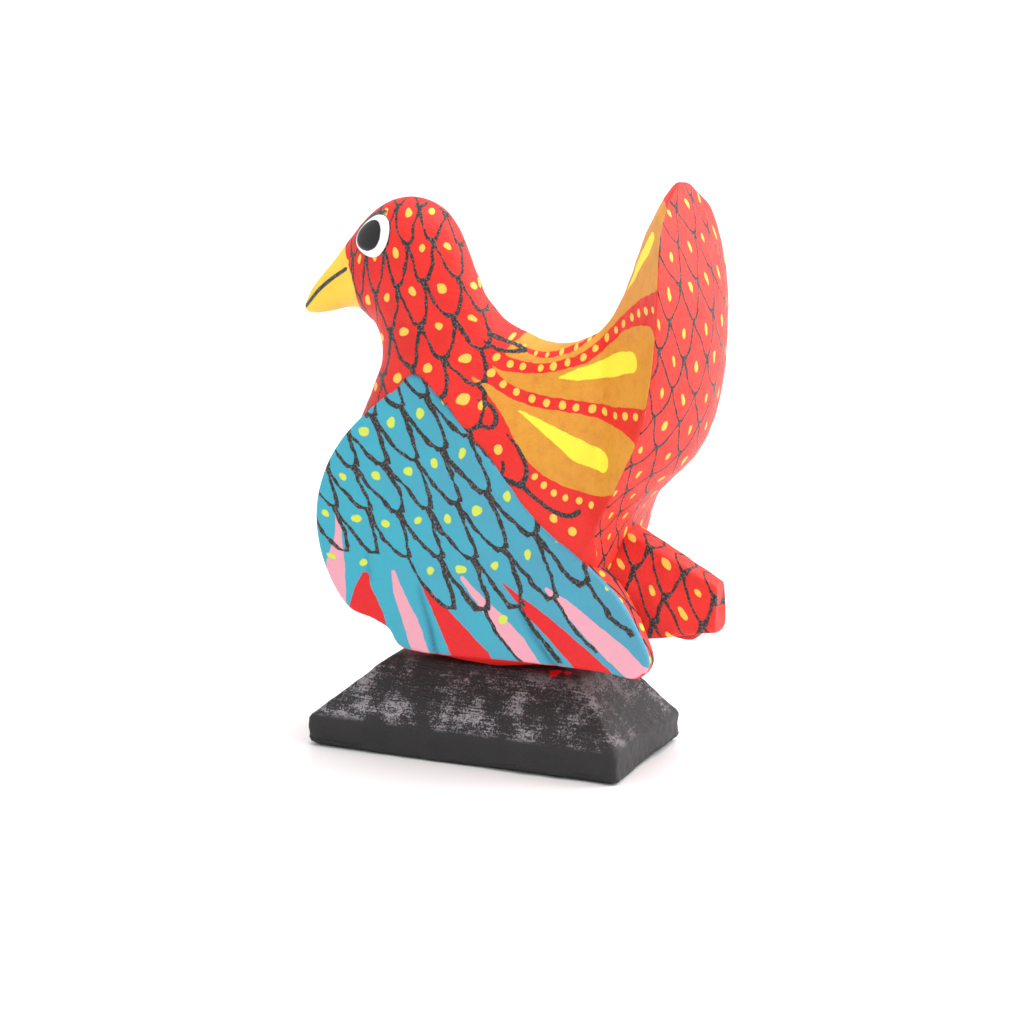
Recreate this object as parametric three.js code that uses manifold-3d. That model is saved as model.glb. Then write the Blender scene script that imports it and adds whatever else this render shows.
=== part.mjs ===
// A small carved and painted wooden bird: a body with its head and beak, a tall
// fan tail, a short lower tail and two wing boards, pegged and glued on a
// black, sloping base block.
// Millimetres. +X forward to the beak, +Y to the bird's left, +Z up.
// The origin is the centre of the base block's underside.

import * as THREE from "three";
import { ConvexGeometry } from "three/addons/geometries/ConvexGeometry.js";
import { mergeVertices } from "three/addons/utils/BufferGeometryUtils.js";
import Module from "manifold-3d";

const wasm = await Module();
wasm.setup();

// ---- driving dimensions -------------------------------------------------

const glueGap = 0.3; // the glue line left between two carved pieces

const base = {
  length: 44.4,
  width: 22.2,
  height: 12.6,
  skirt: 4.1, // the upright edge under the slopes
  topFront: 11.5, // the flat on top, from here
  topRear: -14.5, // to here
  topWidth: 11,
};

// Ribs along the carving, from the beak's tip over the head, neck and back to the tip
// of the tail. Each rib is a slice square to the bird's middle plane, from a top point
// to a bottom point, both [x, z]. half is its half width. saddle and fan say how much
// of the slice has the back's shape and the tail's shape: the rest is an oval. swell is
// how far the tail's back swells past the slice's foot, as a share of its length.
const ribs = [
  { top: [26.9, 57.8], bottom: [26.5, 56.3], half: 0.7, saddle: 0, fan: 0, swell: 0 },
  { top: [26.0, 59.7], bottom: [25.0, 56.4], half: 1.5, saddle: 0, fan: 0, swell: 0 },
  { top: [24.2, 62.1], bottom: [22.8, 57.0], half: 2.4, saddle: 0, fan: 0, swell: 0 },
  { top: [22.3, 64.5], bottom: [20.6, 57.7], half: 3.2, saddle: 0, fan: 0, swell: 0 },
  { top: [20.5, 67.0], bottom: [18.7, 57.7], half: 4.0, saddle: 0, fan: 0, swell: 0 },
  { top: [18.2, 69.9], bottom: [17.0, 56.6], half: 4.8, saddle: 0, fan: 0, swell: 0 },
  { top: [15.1, 72.4], bottom: [15.8, 55.6], half: 5.5, saddle: 0, fan: 0, swell: 0 },
  { top: [11.6, 73.5], bottom: [15.2, 53.9], half: 5.9, saddle: 0, fan: 0, swell: 0 },
  { top: [8.0, 72.6], bottom: [15.1, 51.7], half: 6.1, saddle: 0, fan: 0, swell: 0 },
  { top: [5.3, 69.7], bottom: [15.7, 49.0], half: 6.2, saddle: 0, fan: 0, swell: 0 },
  { top: [3.7, 65.9], bottom: [17.0, 46.0], half: 6.4, saddle: 0, fan: 0, swell: 0 },
  { top: [1.8, 61.6], bottom: [18.5, 42.3], half: 7.0, saddle: 0.2, fan: 0, swell: 0 },
  { top: [-1.2, 58.2], bottom: [20.0, 37.3], half: 8.2, saddle: 0.5, fan: 0, swell: 0 },
  { top: [-5.2, 56.4], bottom: [20.5, 30.7], half: 9.2, saddle: 0.8, fan: 0, swell: 0 },
  { top: [-8.2, 55.9], bottom: [19.2, 23.4], half: 9.5, saddle: 1, fan: 0, swell: 0 },
  { top: [-10.3, 56.0], bottom: [14.0, 15.5], half: 9.5, saddle: 1, fan: 0, swell: 0 },
  { top: [-11.8, 56.3], bottom: [5.0, 12.0], half: 9.5, saddle: 1, fan: 0, swell: 0 },
  { top: [-12.9, 56.8], bottom: [-6.0, 12.0], half: 9.5, saddle: 1, fan: 0, swell: 0 },
  { top: [-13.9, 57.4], bottom: [-15.6, 16.3], half: 9.5, saddle: 0.9, fan: 0.1, swell: 0 },
  { top: [-15.0, 58.2], bottom: [-18.7, 26.4], half: 9.8, saddle: 0.5, fan: 0.5, swell: 0 },
  { top: [-15.9, 59.3], bottom: [-20.4, 34.2], half: 11.0, saddle: 0, fan: 1, swell: 0.02 },
  { top: [-17.2, 61.1], bottom: [-23.6, 40.4], half: 12.3, saddle: 0, fan: 1, swell: 0.1 },
  { top: [-18.5, 63.8], bottom: [-26.6, 47.6], half: 12.5, saddle: 0, fan: 1, swell: 0.26 },
  { top: [-20.0, 67.7], bottom: [-28.2, 56.6], half: 12.5, saddle: 0, fan: 1, swell: 0.36 },
  { top: [-21.6, 72.2], bottom: [-28.4, 66.1], half: 11.6, saddle: 0, fan: 1, swell: 0.34 },
  { top: [-23.4, 76.1], bottom: [-27.4, 73.5], half: 8.8, saddle: 0, fan: 1, swell: 0.2 },
  { top: [-24.9, 78.3], bottom: [-26.6, 77.3], half: 4.7, saddle: 0, fan: 1, swell: 0.1 },
];
const beakTip = [27.1, 56.9];
const tailTip = [-26.3, 79.3];

const slice = {
  ridge: 0.34, // the back's ridge, as a share of the half width
  slope: 0.4, // the share of a back slice where its slope reaches the full width
  rim: 0.625, // the share of a tail slice's half turn that is its side, up to the rim
  fanRidge: 0.22, // the tail's front ridge, as a share of the half width
  reach: 0.92, // how far down a tail slice its rim lies, as a share of the slice's length
};

// The wing board's outline, [x, z], from its shoulder round the front and along the foot.
const wingOutline = [
  [8.5, 51.8],
  [11.6, 48.9],
  [14.9, 45.8],
  [18.0, 42.1],
  [20.3, 37.8],
  [21.5, 32.6],
  [20.9, 27.3],
  [19.2, 23.1],
  [16.4, 19.5],
  [13.0, 18.4],
  [10.8, 17.3],
  [9.2, 15.2],
  [6.0, 14.6],
  [-3.1, 14.8],
  [-12.7, 15.1],
  [-20.5, 15.1],
  [-25.0, 14.9],
  [-26.5, 17.1],
  [-25.0, 21.1],
  [-21.9, 25.5],
  [-16.6, 29.8],
  [-11.4, 33.6],
  [-7.0, 38.3],
  [-1.1, 44.3],
  [4.4, 49.3],
];
const wing = {
  middle: [-2, 28], // where the board's rings shrink to
  shoulder: [8.5, 51.8],
  face: 9.75, // the painted face's distance from the middle plane
  shoulderDip: 2.6, // how much closer it lies at the shoulder
  shoulderReach: 10,
  footLift: 0.9, // how much further out it lies along the foot
  footFrom: 37, // the heights between which it lifts
  footTo: 15,
  thick: 2.2,
  heel: [-17, 28], // the board is thicker here, where the rump narrows
  heelThick: 2,
  heelReach: 8,
};

const lowerTail = {
  from: -13,
  to: -32,
  top: [35.5, 26.2], // heights and half widths at each end
  foot: [17.2, 19.4],
  crease: [26.4, 23.2], // where its slopes meet its upright sides
  half: [9, 1.9],
  crown: [2.6, 1.3],
};

const baseDowel = { radius: 1.6, from: 6, to: 21, x: [6, -7] };
const wingPeg = { radius: 1.2, reach: 8.6, at: [[8, 33], [-9, 25]] };
const tailDowel = { radius: 1.5, half: 5.5 };
const jointTop = [-13.5, 57.9]; // the tail's glued joint is the plane through
const jointFoot = [-19, 31.9]; // these two points, [x, z]
const far = 60; // well past the carving on any side

// ---- helpers ------------------------------------------------------------

// A closed solid from rings of points with a pole at each end.
function skin(firstPole, rings, lastPole) {
  const around = rings[0].length;
  const points = [firstPole, ...rings.flat(), lastPole];
  const last = points.length - 1;
  const index = [];
  const at = (ring, i) => 1 + ring * around + (i % around);
  for (let i = 0; i < around; i++) {
    index.push(0, at(0, i + 1), at(0, i));
    index.push(last, at(rings.length - 1, i), at(rings.length - 1, i + 1));
    for (let r = 0; r + 1 < rings.length; r++) {
      index.push(at(r, i), at(r, i + 1), at(r + 1, i + 1));
      index.push(at(r, i), at(r + 1, i + 1), at(r + 1, i));
    }
  }
  const geometry = new THREE.BufferGeometry().setFromPoints(points);
  geometry.setIndex(index);
  const made = solid(geometry);
  return made.volume() > 0 ? made : solid(insideOut(geometry));
}

function insideOut(geometry) {
  const index = geometry.index.array;
  const turned = [];
  for (let i = 0; i < index.length; i += 3) turned.push(index[i], index[i + 2], index[i + 1]);
  return geometry.clone().setIndex(turned);
}

// A three.js geometry as a manifold solid, and back.
function solid(geometry) {
  const bare = geometry.clone();
  bare.deleteAttribute("normal");
  bare.deleteAttribute("uv");
  const merged = mergeVertices(bare, 1e-4);
  return new wasm.Manifold(
    new wasm.Mesh({
      numProp: 3,
      vertProperties: new Float32Array(merged.attributes.position.array),
      triVerts: new Uint32Array(merged.index.array),
    }),
  );
}

function geometryOf(made) {
  const mesh = made.getMesh();
  const geometry = new THREE.BufferGeometry();
  geometry.setAttribute("position", new THREE.BufferAttribute(mesh.vertProperties, 3));
  geometry.setIndex(new THREE.BufferAttribute(mesh.triVerts, 1));
  geometry.computeVertexNormals();
  return geometry;
}

// The largest piece of a solid that a cut may have left in several.
function largest(made) {
  return made.decompose().reduce((a, b) => (a.volume() > b.volume() ? a : b));
}

// A round bar between two points.
function bar(start, end, radius, sides = 16) {
  const from = new THREE.Vector3(...start);
  const to = new THREE.Vector3(...end);
  const geometry = new THREE.CylinderGeometry(radius, radius, from.distanceTo(to), sides);
  const along = to.clone().sub(from).normalize();
  const turn = new THREE.Quaternion().setFromUnitVectors(new THREE.Vector3(0, 1, 0), along);
  geometry.applyQuaternion(turn);
  geometry.translate(...from.add(to).multiplyScalar(0.5).toArray());
  return solid(geometry);
}

// The hole that a bar needs, with the glue line round it and at both ends.
function hole(start, end, radius) {
  const from = new THREE.Vector3(...start);
  const to = new THREE.Vector3(...end);
  const spare = to.clone().sub(from).setLength(glueGap);
  return bar(from.sub(spare).toArray(), to.add(spare).toArray(), radius + glueGap);
}

const mix = THREE.MathUtils.lerp;

// A smooth curve through evenly spaced values, read at a place between them.
function smooth(values, place) {
  const i = Math.min(Math.floor(place), values.length - 2);
  const t = place - i;
  const value = (k) => values[Math.max(0, Math.min(values.length - 1, k))];
  const [a, b, c, d] = [value(i - 1), value(i), value(i + 1), value(i + 2)];
  const bend = 2 * a - 5 * b + 4 * c - d;
  return b + 0.5 * t * (c - a + t * (bend + t * (3 * (b - c) + d - a)));
}

// ---- the carving --------------------------------------------------------

// A slice's half outline: turn 0 is its top and 1 its bottom. Returns the place along
// the rib and the share of the half width.
function sliceAt(turn, saddle, fan, swell) {
  const along = (1 - Math.cos(Math.PI * turn)) / 2;
  const oval = Math.sin(Math.PI * turn);
  const roundTop = Math.sqrt(1 - (1 - Math.min(along / 0.08, 1)) ** 2);
  const roundFoot = Math.sqrt(1 - Math.max((along - 0.84) / 0.16, 0) ** 2.4);
  const climb = THREE.MathUtils.smoothstep(along, 0, slice.slope);
  const back = (slice.ridge + (1 - slice.ridge) * climb) * roundTop * roundFoot;
  const side = Math.min(turn / slice.rim, 1);
  const rear = Math.max((turn - slice.rim) / (1 - slice.rim), 0);
  const fanAlong =
    slice.reach * side ** 1.4 + (1 + swell - slice.reach) * (1 - (1 - rear) ** 2);
  const ridge = slice.fanRidge * (1 - (1 - side) ** 3);
  const fanOut = (ridge + (1 - slice.fanRidge) * side ** 1.5) * (1 - rear);
  const round = 1 - saddle - fan;
  return {
    along: (round + saddle) * along + fan * fanAlong,
    out: round * oval + saddle * back + fan * fanOut,
  };
}

function carving(ringsPerRib, halfTurn) {
  const column = (read) => ribs.map(read);
  const columns = {
    topX: column((r) => r.top[0]),
    topZ: column((r) => r.top[1]),
    bottomX: column((r) => r.bottom[0]),
    bottomZ: column((r) => r.bottom[1]),
    half: column((r) => r.half),
    saddle: column((r) => r.saddle),
    fan: column((r) => r.fan),
    swell: column((r) => r.swell),
  };
  const rings = [];
  const count = (ribs.length - 1) * ringsPerRib;
  for (let k = 0; k <= count; k++) {
    const place = k / ringsPerRib;
    const rib = Object.fromEntries(
      Object.entries(columns).map(([name, values]) => [name, smooth(values, place)]),
    );
    const ring = [];
    for (let i = 0; i < 2 * halfTurn; i++) {
      const left = i <= halfTurn;
      const turn = left ? i / halfTurn : 2 - i / halfTurn;
      const { along, out } = sliceAt(turn, rib.saddle, rib.fan, rib.swell);
      const y = rib.half * out * (left ? 1 : -1);
      ring.push(
        new THREE.Vector3(
          mix(rib.topX, rib.bottomX, along),
          i % halfTurn ? y : 0,
          mix(rib.topZ, rib.bottomZ, along),
        ),
      );
    }
    rings.push(ring);
  }
  const pole = ([x, z]) => new THREE.Vector3(x, 0, z);
  return skin(pole(beakTip), rings, pole(tailTip));
}

// The half space behind the tail's joint, moved back by the given gap.
function behindJoint(gap) {
  const [topX, topZ] = jointTop;
  const [footX, footZ] = jointFoot;
  const lean = Math.atan2(topX - footX, topZ - footZ);
  const block = new THREE.BoxGeometry(far, far, 2 * far);
  block.translate(-far / 2 - gap, 0, 0);
  block.rotateY(lean);
  block.translate(footX, 0, footZ);
  return solid(block);
}

// A point on the tail's joint, at a height, moved along the joint's normal.
function onJoint(height, out) {
  const [topX, topZ] = jointTop;
  const [footX, footZ] = jointFoot;
  const t = (height - footZ) / (topZ - footZ);
  const lean = Math.atan2(topX - footX, topZ - footZ);
  return [mix(footX, topX, t) - out * Math.cos(lean), 0, height + out * Math.sin(lean)];
}

// ---- the wing boards ----------------------------------------------------

// How far the painted face of a wing lies from the middle plane.
function wingFace(x, z) {
  const [sx, sz] = wing.shoulder;
  const near = Math.exp(-((x - sx) ** 2 + (z - sz) ** 2) / wing.shoulderReach ** 2);
  const foot = THREE.MathUtils.smoothstep(wing.footFrom - z, 0, wing.footFrom - wing.footTo);
  return wing.face - wing.shoulderDip * near + wing.footLift * foot;
}

// How thick a wing board is.
function wingThick(x, z) {
  const [hx, hz] = wing.heel;
  const near = Math.exp(-((x - hx) ** 2 + (z - hz) ** 2) / wing.heelReach ** 2);
  return wing.thick + wing.heelThick * near;
}

// A wing board on the side of y. grow widens it all round and deepens its back, and
// proud moves its face out: that is the seat it needs in the body.
function wingBoard(side, grow = 0, proud = 0) {
  const [mx, mz] = wing.middle;
  const curve = new THREE.CatmullRomCurve3(
    wingOutline.map(([x, z]) => new THREE.Vector3(x, 0, z)),
    true,
    "centripetal",
  );
  const edge = curve.getPoints(72).slice(0, -1);
  // A point of the board, some way from its middle to its edge and from its face to
  // its back.
  const at = (p, share, deep, sunk = 0) => {
    const out = new THREE.Vector3(p.x - mx, 0, p.z - mz);
    out.setLength(out.length() * share + (share ? grow : 0));
    const [x, z] = [mx + out.x, mz + out.z];
    const depth = deep * (wingThick(x, z) + grow + proud) + sunk;
    return new THREE.Vector3(x, side * (wingFace(x, z) + proud - depth), z);
  };
  const ring = (share, deep, sunk) => edge.map((p) => at(p, share, deep, sunk));
  const rings = [
    ring(0.35, 0),
    ring(0.7, 0),
    ring(0.94, 0, 0.05),
    ring(1, 0, 0.5),
    ring(1, 1),
    ring(0.7, 1),
    ring(0.35, 1),
  ];
  return skin(at(edge[0], 0, 0), rings, at(edge[0], 0, 1));
}

// ---- the lower tail -----------------------------------------------------

// A wedge with a flat crown, sloping shoulders and upright sides, narrower to the rear.
function lowerTailWedge() {
  const at = (t) =>
    Object.fromEntries(
      ["top", "foot", "crease", "half", "crown"].map((name) => [
        name,
        mix(...lowerTail[name], t),
      ]),
    );
  const section = (t) => {
    const x = mix(lowerTail.from, lowerTail.to, t);
    const { top, foot, crease, half, crown } = at(t);
    const side = [
      [0, top],
      [crown, top - 0.15],
      [half * 0.93, crease + 0.4],
      [half, crease - 0.9],
      [half, foot + 0.7],
      [half - 0.6, foot],
    ];
    const mirrored = side.slice(1).reverse().map(([y, z]) => [-y, z]);
    return [...side, [0, foot], ...mirrored].map(([y, z]) => new THREE.Vector3(x, y, z));
  };
  const steps = 8;
  const rings = Array.from({ length: steps + 1 }, (_, i) => section(i / steps));
  const pole = (t, out) => {
    const { top, foot } = at(t);
    return new THREE.Vector3(mix(lowerTail.from, lowerTail.to, t) + out, 0, (top + foot) / 2);
  };
  return skin(pole(0, 0), rings, pole(1, -0.4));
}

// ---- the base block -----------------------------------------------------

function baseBlock() {
  const corners = (front, rear, width, z) =>
    [front, rear].flatMap((x) => [-1, 1].map((side) => new THREE.Vector3(x, (side * width) / 2, z)));
  const { length, width, height, skirt, topFront, topRear, topWidth } = base;
  const worn = 0.6; // the worn lower and upper edges
  const end = length / 2;
  return solid(
    new ConvexGeometry([
      ...corners(end - worn, worn - end, width - 2 * worn, 0),
      ...corners(end, -end, width, worn),
      ...corners(end, -end, width, skirt),
      ...corners(topFront + worn, topRear - worn, topWidth + 2 * worn, height - worn),
      ...corners(topFront, topRear, topWidth, height),
    ]),
  );
}

// ---- assembly -----------------------------------------------------------

const whole = carving(2, 16);
const wings = { left: wingBoard(1), right: wingBoard(-1) };
const seatProud = far / 4;
const seats = wingBoard(1, glueGap, seatProud).add(wingBoard(-1, glueGap, seatProud));

const dowelEnds = baseDowel.x.map((x) => [
  [x, 0, baseDowel.from],
  [x, 0, baseDowel.to],
]);
const pegEnds = wingPeg.at.map(([x, z]) => [
  [x, -wingPeg.reach, z],
  [x, wingPeg.reach, z],
]);
const fanDowelEnds = [onJoint(45, -tailDowel.half), onJoint(45, tailDowel.half)];
const lowerDowelEnds = [
  [-13, 0, 24.5],
  [-25, 0, 24.5],
];

const pegHoles = pegEnds.map(([a, b]) => hole(a, b, wingPeg.radius));
const dowelHoles = dowelEnds.map(([a, b]) => hole(a, b, baseDowel.radius));
const fanHole = hole(...fanDowelEnds, tailDowel.radius);
const lowerHole = hole(...lowerDowelEnds, tailDowel.radius);

// The foot is sawn flat, a glue line above the base block.
const sawn = whole.trimByPlane([0, 0, 1], base.height + glueGap);
let body = sawn.subtract(behindJoint(0)).subtract(seats);
for (const cut of [...pegHoles, ...dowelHoles, fanHole, lowerHole]) body = body.subtract(cut);

const fan = whole.intersect(behindJoint(glueGap)).subtract(seats).subtract(fanHole);

const shifts = [
  [0, 0, 0],
  [-glueGap * 1.2, 0, 0],
  [0, 0, -glueGap * 1.2],
];
let wedge = lowerTailWedge().subtract(seats).subtract(lowerHole);
for (const shift of shifts) wedge = wedge.subtract(whole.translate(shift));

let block = baseBlock();
for (const cut of dowelHoles) block = block.subtract(cut);

function wingWithHoles(board) {
  return pegHoles.reduce((made, cut) => made.subtract(cut), board);
}

const finishes = {
  black: { color: 0x1d1b1d, roughness: 0.45, metalness: 0 },
  red: { color: 0xe92c28, roughness: 0.5, metalness: 0 },
  blue: { color: 0x3fa9c6, roughness: 0.5, metalness: 0 },
  ochre: { color: 0xe09a34, roughness: 0.5, metalness: 0 },
  wood: { color: 0xd8b98c, roughness: 0.8, metalness: 0 },
};

const bird = new THREE.Group();

function place(name, made, finish) {
  const material = new THREE.MeshStandardMaterial(finishes[finish]);
  const mesh = new THREE.Mesh(geometryOf(largest(made)), material);
  mesh.name = name;
  bird.add(mesh);
}

place("base_block", block, "black");
place("body", body, "red");
place("tail_fan", fan, "ochre");
place("lower_tail", wedge, "red");
place("wing_left", wingWithHoles(wings.left), "blue");
place("wing_right", wingWithHoles(wings.right), "blue");
place("base_dowel_front", bar(...dowelEnds[0], baseDowel.radius), "wood");
place("base_dowel_rear", bar(...dowelEnds[1], baseDowel.radius), "wood");
place("wing_peg_upper", bar(...pegEnds[0], wingPeg.radius), "wood");
place("wing_peg_lower", bar(...pegEnds[1], wingPeg.radius), "wood");
place("tail_fan_dowel", bar(...fanDowelEnds, tailDowel.radius), "wood");
place("lower_tail_dowel", bar(...lowerDowelEnds, tailDowel.radius), "wood");

export default bird;
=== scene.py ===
import math

import bmesh
import bpy
import numpy as np
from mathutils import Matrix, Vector


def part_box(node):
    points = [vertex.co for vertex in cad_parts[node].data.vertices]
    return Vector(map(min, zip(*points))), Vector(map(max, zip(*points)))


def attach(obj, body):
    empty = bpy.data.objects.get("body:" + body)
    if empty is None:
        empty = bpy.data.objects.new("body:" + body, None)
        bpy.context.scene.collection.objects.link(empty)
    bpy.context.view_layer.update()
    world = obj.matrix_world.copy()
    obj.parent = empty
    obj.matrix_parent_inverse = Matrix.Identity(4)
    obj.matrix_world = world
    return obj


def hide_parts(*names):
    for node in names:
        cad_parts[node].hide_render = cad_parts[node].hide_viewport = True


# A small carved wooden bird on a black block, painted by hand. The shapes are worked
# out in millimetres, as the bird is carved, and go into the meshes in metres.

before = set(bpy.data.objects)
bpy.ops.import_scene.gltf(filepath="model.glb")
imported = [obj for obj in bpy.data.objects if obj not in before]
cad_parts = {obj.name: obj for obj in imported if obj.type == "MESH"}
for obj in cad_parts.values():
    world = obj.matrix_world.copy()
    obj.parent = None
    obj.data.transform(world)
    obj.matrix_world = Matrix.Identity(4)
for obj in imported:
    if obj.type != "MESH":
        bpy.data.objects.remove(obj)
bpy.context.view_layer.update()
mm = 0.001


def cadCorners(node):  # a CAD node's lowest and highest corners, in mm
    return [[round(v / mm, 3) for v in corner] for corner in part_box(node)]


blockLow, blockHigh = cadCorners("base_block")
bodyHigh, fanHigh = cadCorners("body")[1], cadCorners("tail_fan")[1]
wingHigh, wedgeLow = cadCorners("wing_left")[1], cadCorners("lower_tail")[0]
print("frame loaded")


def smoothStep(x, low, high):  # 3t^2 - 2t^3, where t goes from 0 at low to 1 at high
    t = np.clip((x - low) / (high - low), 0, 1)
    return t * t * (3 - 2 * t)


def mix(a, b, t):
    return a + (b - a) * t


def smoothRow(values, place):
    # a Catmull-Rom curve through evenly spaced rows of values, read at any place
    last = len(values) - 1
    i = np.clip(np.floor(place).astype(int), 0, last - 1)
    t = np.asarray(place - i)[..., None]
    a, b, c, d = (values[np.clip(i + k, 0, last)] for k in (-1, 0, 1, 2))
    return b + 0.5 * t * (c - a + t * (2 * a - 5 * b + 4 * c - d + t * (3 * (b - c) + d - a)))


def curveThrough(points, count, closed=False):
    # a centripetal Catmull-Rom curve through points: knots are spaced by the square
    # root of the distance between points, and each span blends its four neighbours
    p = np.array(points, float)
    if closed:
        p = np.concatenate([p[-1:], p, p[:2]])
    else:
        p = np.concatenate([2 * p[:1] - p[1:2], p, 2 * p[-1:] - p[-2:-1]])
    spans = len(p) - 3
    gap = np.maximum(np.linalg.norm(np.diff(p, axis=0), axis=1) ** 0.5, 1e-6)
    place = np.linspace(0, spans, count, endpoint=not closed)
    i = np.minimum(place.astype(int), spans - 1)
    t = (place - i)[:, None]
    before, here, after = (gap[i + k][:, None] for k in (0, 1, 2))
    a, b, c, d = (p[i + k] for k in range(4))
    leave = ((b - a) / before - (c - a) / (before + here) + (c - b) / here) * here
    arrive = ((c - b) / here - (d - b) / (here + after) + (d - c) / after) * here
    return (
        (2 * t**3 - 3 * t**2 + 1) * b + (t**3 - 2 * t**2 + t) * leave
        + (3 * t**2 - 2 * t**3) * c + (t**3 - t**2) * arrive
    )


def fromLine(x, z, line, closed=False):
    # for each place, the nearest point of a drawn line: how far it is, and how far
    # along the line it lies
    ends = np.concatenate([line[1:], line[:1]]) if closed else line[1:]
    starts = line if closed else line[:-1]
    away = np.full(x.shape, 1e9)
    along = np.zeros(x.shape)
    run = 0.0
    for (ax, az), (bx, bz) in zip(starts, ends):
        length = math.hypot(bx - ax, bz - az) + 1e-9
        t = np.clip(((x - ax) * (bx - ax) + (z - az) * (bz - az)) / length**2, 0, 1)
        here = np.hypot(x - mix(ax, bx, t), z - mix(az, bz, t))
        nearer = here < away
        away = np.where(nearer, here, away)
        along = np.where(nearer, run + t * length, along)
        run += length
    return away, along, run


def insideOf(x, z, outline):
    # how deep each place lies inside a closed outline, less than 0 outside it: the
    # distance to its edge, with the side found by counting the edges crossed
    away = fromLine(x, z, outline, closed=True)[0]
    crossed = np.zeros(x.shape, bool)
    for (ax, az), (bx, bz) in zip(outline, np.roll(outline, -1, axis=0)):
        if az != bz:
            crossed ^= ((az > z) != (bz > z)) & (x < ax + (z - az) * (bx - ax) / (bz - az))
    return np.where(crossed, away, -away)


def strokeDepth(x, z, points, halves):
    # how deep each place lies inside a brush stroke: its half width there, less the
    # distance from its middle line
    line = curveThrough(points, 40)
    away, along, run = fromLine(x, z, line)
    return np.interp(along / run, np.linspace(0, 1, len(halves)), halves) - away


def deepest(x, z, strokes):
    return np.maximum.reduce([strokeDepth(x, z, line, halves) for line, halves in strokes])


def lumps(p, size, seed):
    # a smooth unevenness between about -1 and 1: the mean of nine sine waves of
    # roughly that wavelength, in nine directions
    random = np.random.default_rng(seed)
    ways = random.normal(size=(9, 3))
    ways *= 2 * math.pi / size / np.linalg.norm(ways, axis=1)[:, None]
    ways *= random.uniform(0.7, 1.4, 9)[:, None]
    starts = random.uniform(0, 2 * math.pi, 9)
    return sum(np.sin(p @ w + s) for w, s in zip(ways, starts)) / 4.5


def outward(grid):
    # unit normals of a grid of rings, from the cross product of its two directions
    round_ = np.roll(grid, -1, axis=1) - np.roll(grid, 1, axis=1)
    down = np.gradient(grid, axis=0)
    normal = np.cross(round_, down)
    return normal / np.maximum(np.linalg.norm(normal, axis=2, keepdims=True), 1e-9)


def mirrored(half, sign=1):  # half rings, closed by their own points backwards
    return np.concatenate([half, half[:, -2:0:-1] * sign], axis=1)


def placed(name, data):
    made = bpy.data.objects.new(name, data)
    bpy.context.scene.collection.objects.link(made)
    return made


def skin(name, rings, firstPole, lastPole, marks=None):
    # A closed mesh from rings of points with a pole at each end. marks holds what is
    # kept for each point, as rows of three numbers, for the paint to read.
    count, around = rings.shape[:2]
    points = np.concatenate([[firstPole], rings.reshape(-1, 3), [lastPole]]) * mm
    i = np.arange(around)
    j = (i + 1) % around
    r = (np.arange(count - 1) * around)[:, None]
    quads = np.stack([1 + r + i, 1 + r + j, 1 + r + around + j, 1 + r + around + i], -1)
    last = len(points) - 1
    first = np.stack([0 * i, 1 + j, 1 + i], -1)
    end = 1 + (count - 1) * around
    final = np.stack([last + 0 * i, end + i, end + j], -1)
    quads = quads.reshape(-1, 4)
    a, b, c = (points[quads[:, k]] for k in (0, 1, 2))
    if np.einsum("ij,ij->i", a, np.cross(b, c)).sum() < 0:
        quads, first, final = quads[:, ::-1], first[:, ::-1], final[:, ::-1]
    mesh = bpy.data.meshes.new(name)
    mesh.from_pydata(points, [], quads.tolist() + first.tolist() + final.tolist())
    for mark, values in (marks or {}).items():
        ends = values[:1].mean(axis=1), values[-1:].mean(axis=1)
        rows = np.concatenate([ends[0], values.reshape(-1, 3), ends[1]])
        layer = mesh.attributes.new(mark, "FLOAT_VECTOR", "POINT")
        layer.data.foreach_set("vector", rows.astype(np.float32).ravel())
    mesh.shade_smooth()
    mesh.update()
    return placed(name, mesh)


def cut(piece, through, away):
    # takes off what lies on the side that away points to, and closes the cut
    work = bmesh.new()
    work.from_mesh(piece.data)
    every = work.verts[:] + work.edges[:] + work.faces[:]
    point, normal = Vector(through) * mm, Vector(away)
    bmesh.ops.bisect_plane(
        work, geom=every, plane_co=point, plane_no=normal, clear_outer=True, dist=1e-7
    )
    rim = [e for e in work.edges if e.is_boundary]
    made = bmesh.ops.holes_fill(work, edges=rim, sides=0)
    for face in made["faces"]:
        face.smooth = False
    bmesh.ops.triangulate(work, faces=made["faces"])
    work.to_mesh(piece.data)
    work.free()
    piece.data.set_sharp_from_angle(angle=math.radians(50))


class Wire:
    # one number in a material; arithmetic on it adds Math nodes
    def __init__(self, box, node, out=0):
        self.box, self.node, self.socket = box, node, node.outputs[out]

    def also(self, out):
        return Wire(self.box, self.node, out)

    def math(self, operation, *values):
        return self.box.add("Math", {"operation": operation}, dict(enumerate(values)))

    def __neg__(self):
        return self.math("MULTIPLY", self, -1.0)

    def __abs__(self):
        return self.math("ABSOLUTE", self)

    def least(self, other):
        return self.math("MINIMUM", self, other)

    def most(self, other):
        return self.math("MAXIMUM", self, other)

    def clipped(self):
        return self.box.add("Clamp", {}, {0: self})

    def edge(self, soft=0.07):  # 1 where the number is above 0, with a soft edge
        return (self / soft + 0.5).clipped()

    def between(self, low, high):  # smoothly from 0 at low to 1 at high
        values = {"Value": self, "From Min": low, "From Max": high}
        return self.box.add("MapRange", {"interpolation_type": "SMOOTHSTEP"}, values)


def overload(name, operation):  # an operator and its reflected form
    setattr(Wire, f"__{name}__", lambda a, b: a.math(operation, a, b))
    setattr(Wire, f"__r{name}__", lambda a, b: a.math(operation, b, a))


for name, operation in {"add": "ADD", "sub": "SUBTRACT", "mul": "MULTIPLY",
                        "truediv": "DIVIDE", "pow": "POWER"}.items():
    overload(name, operation)


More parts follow.
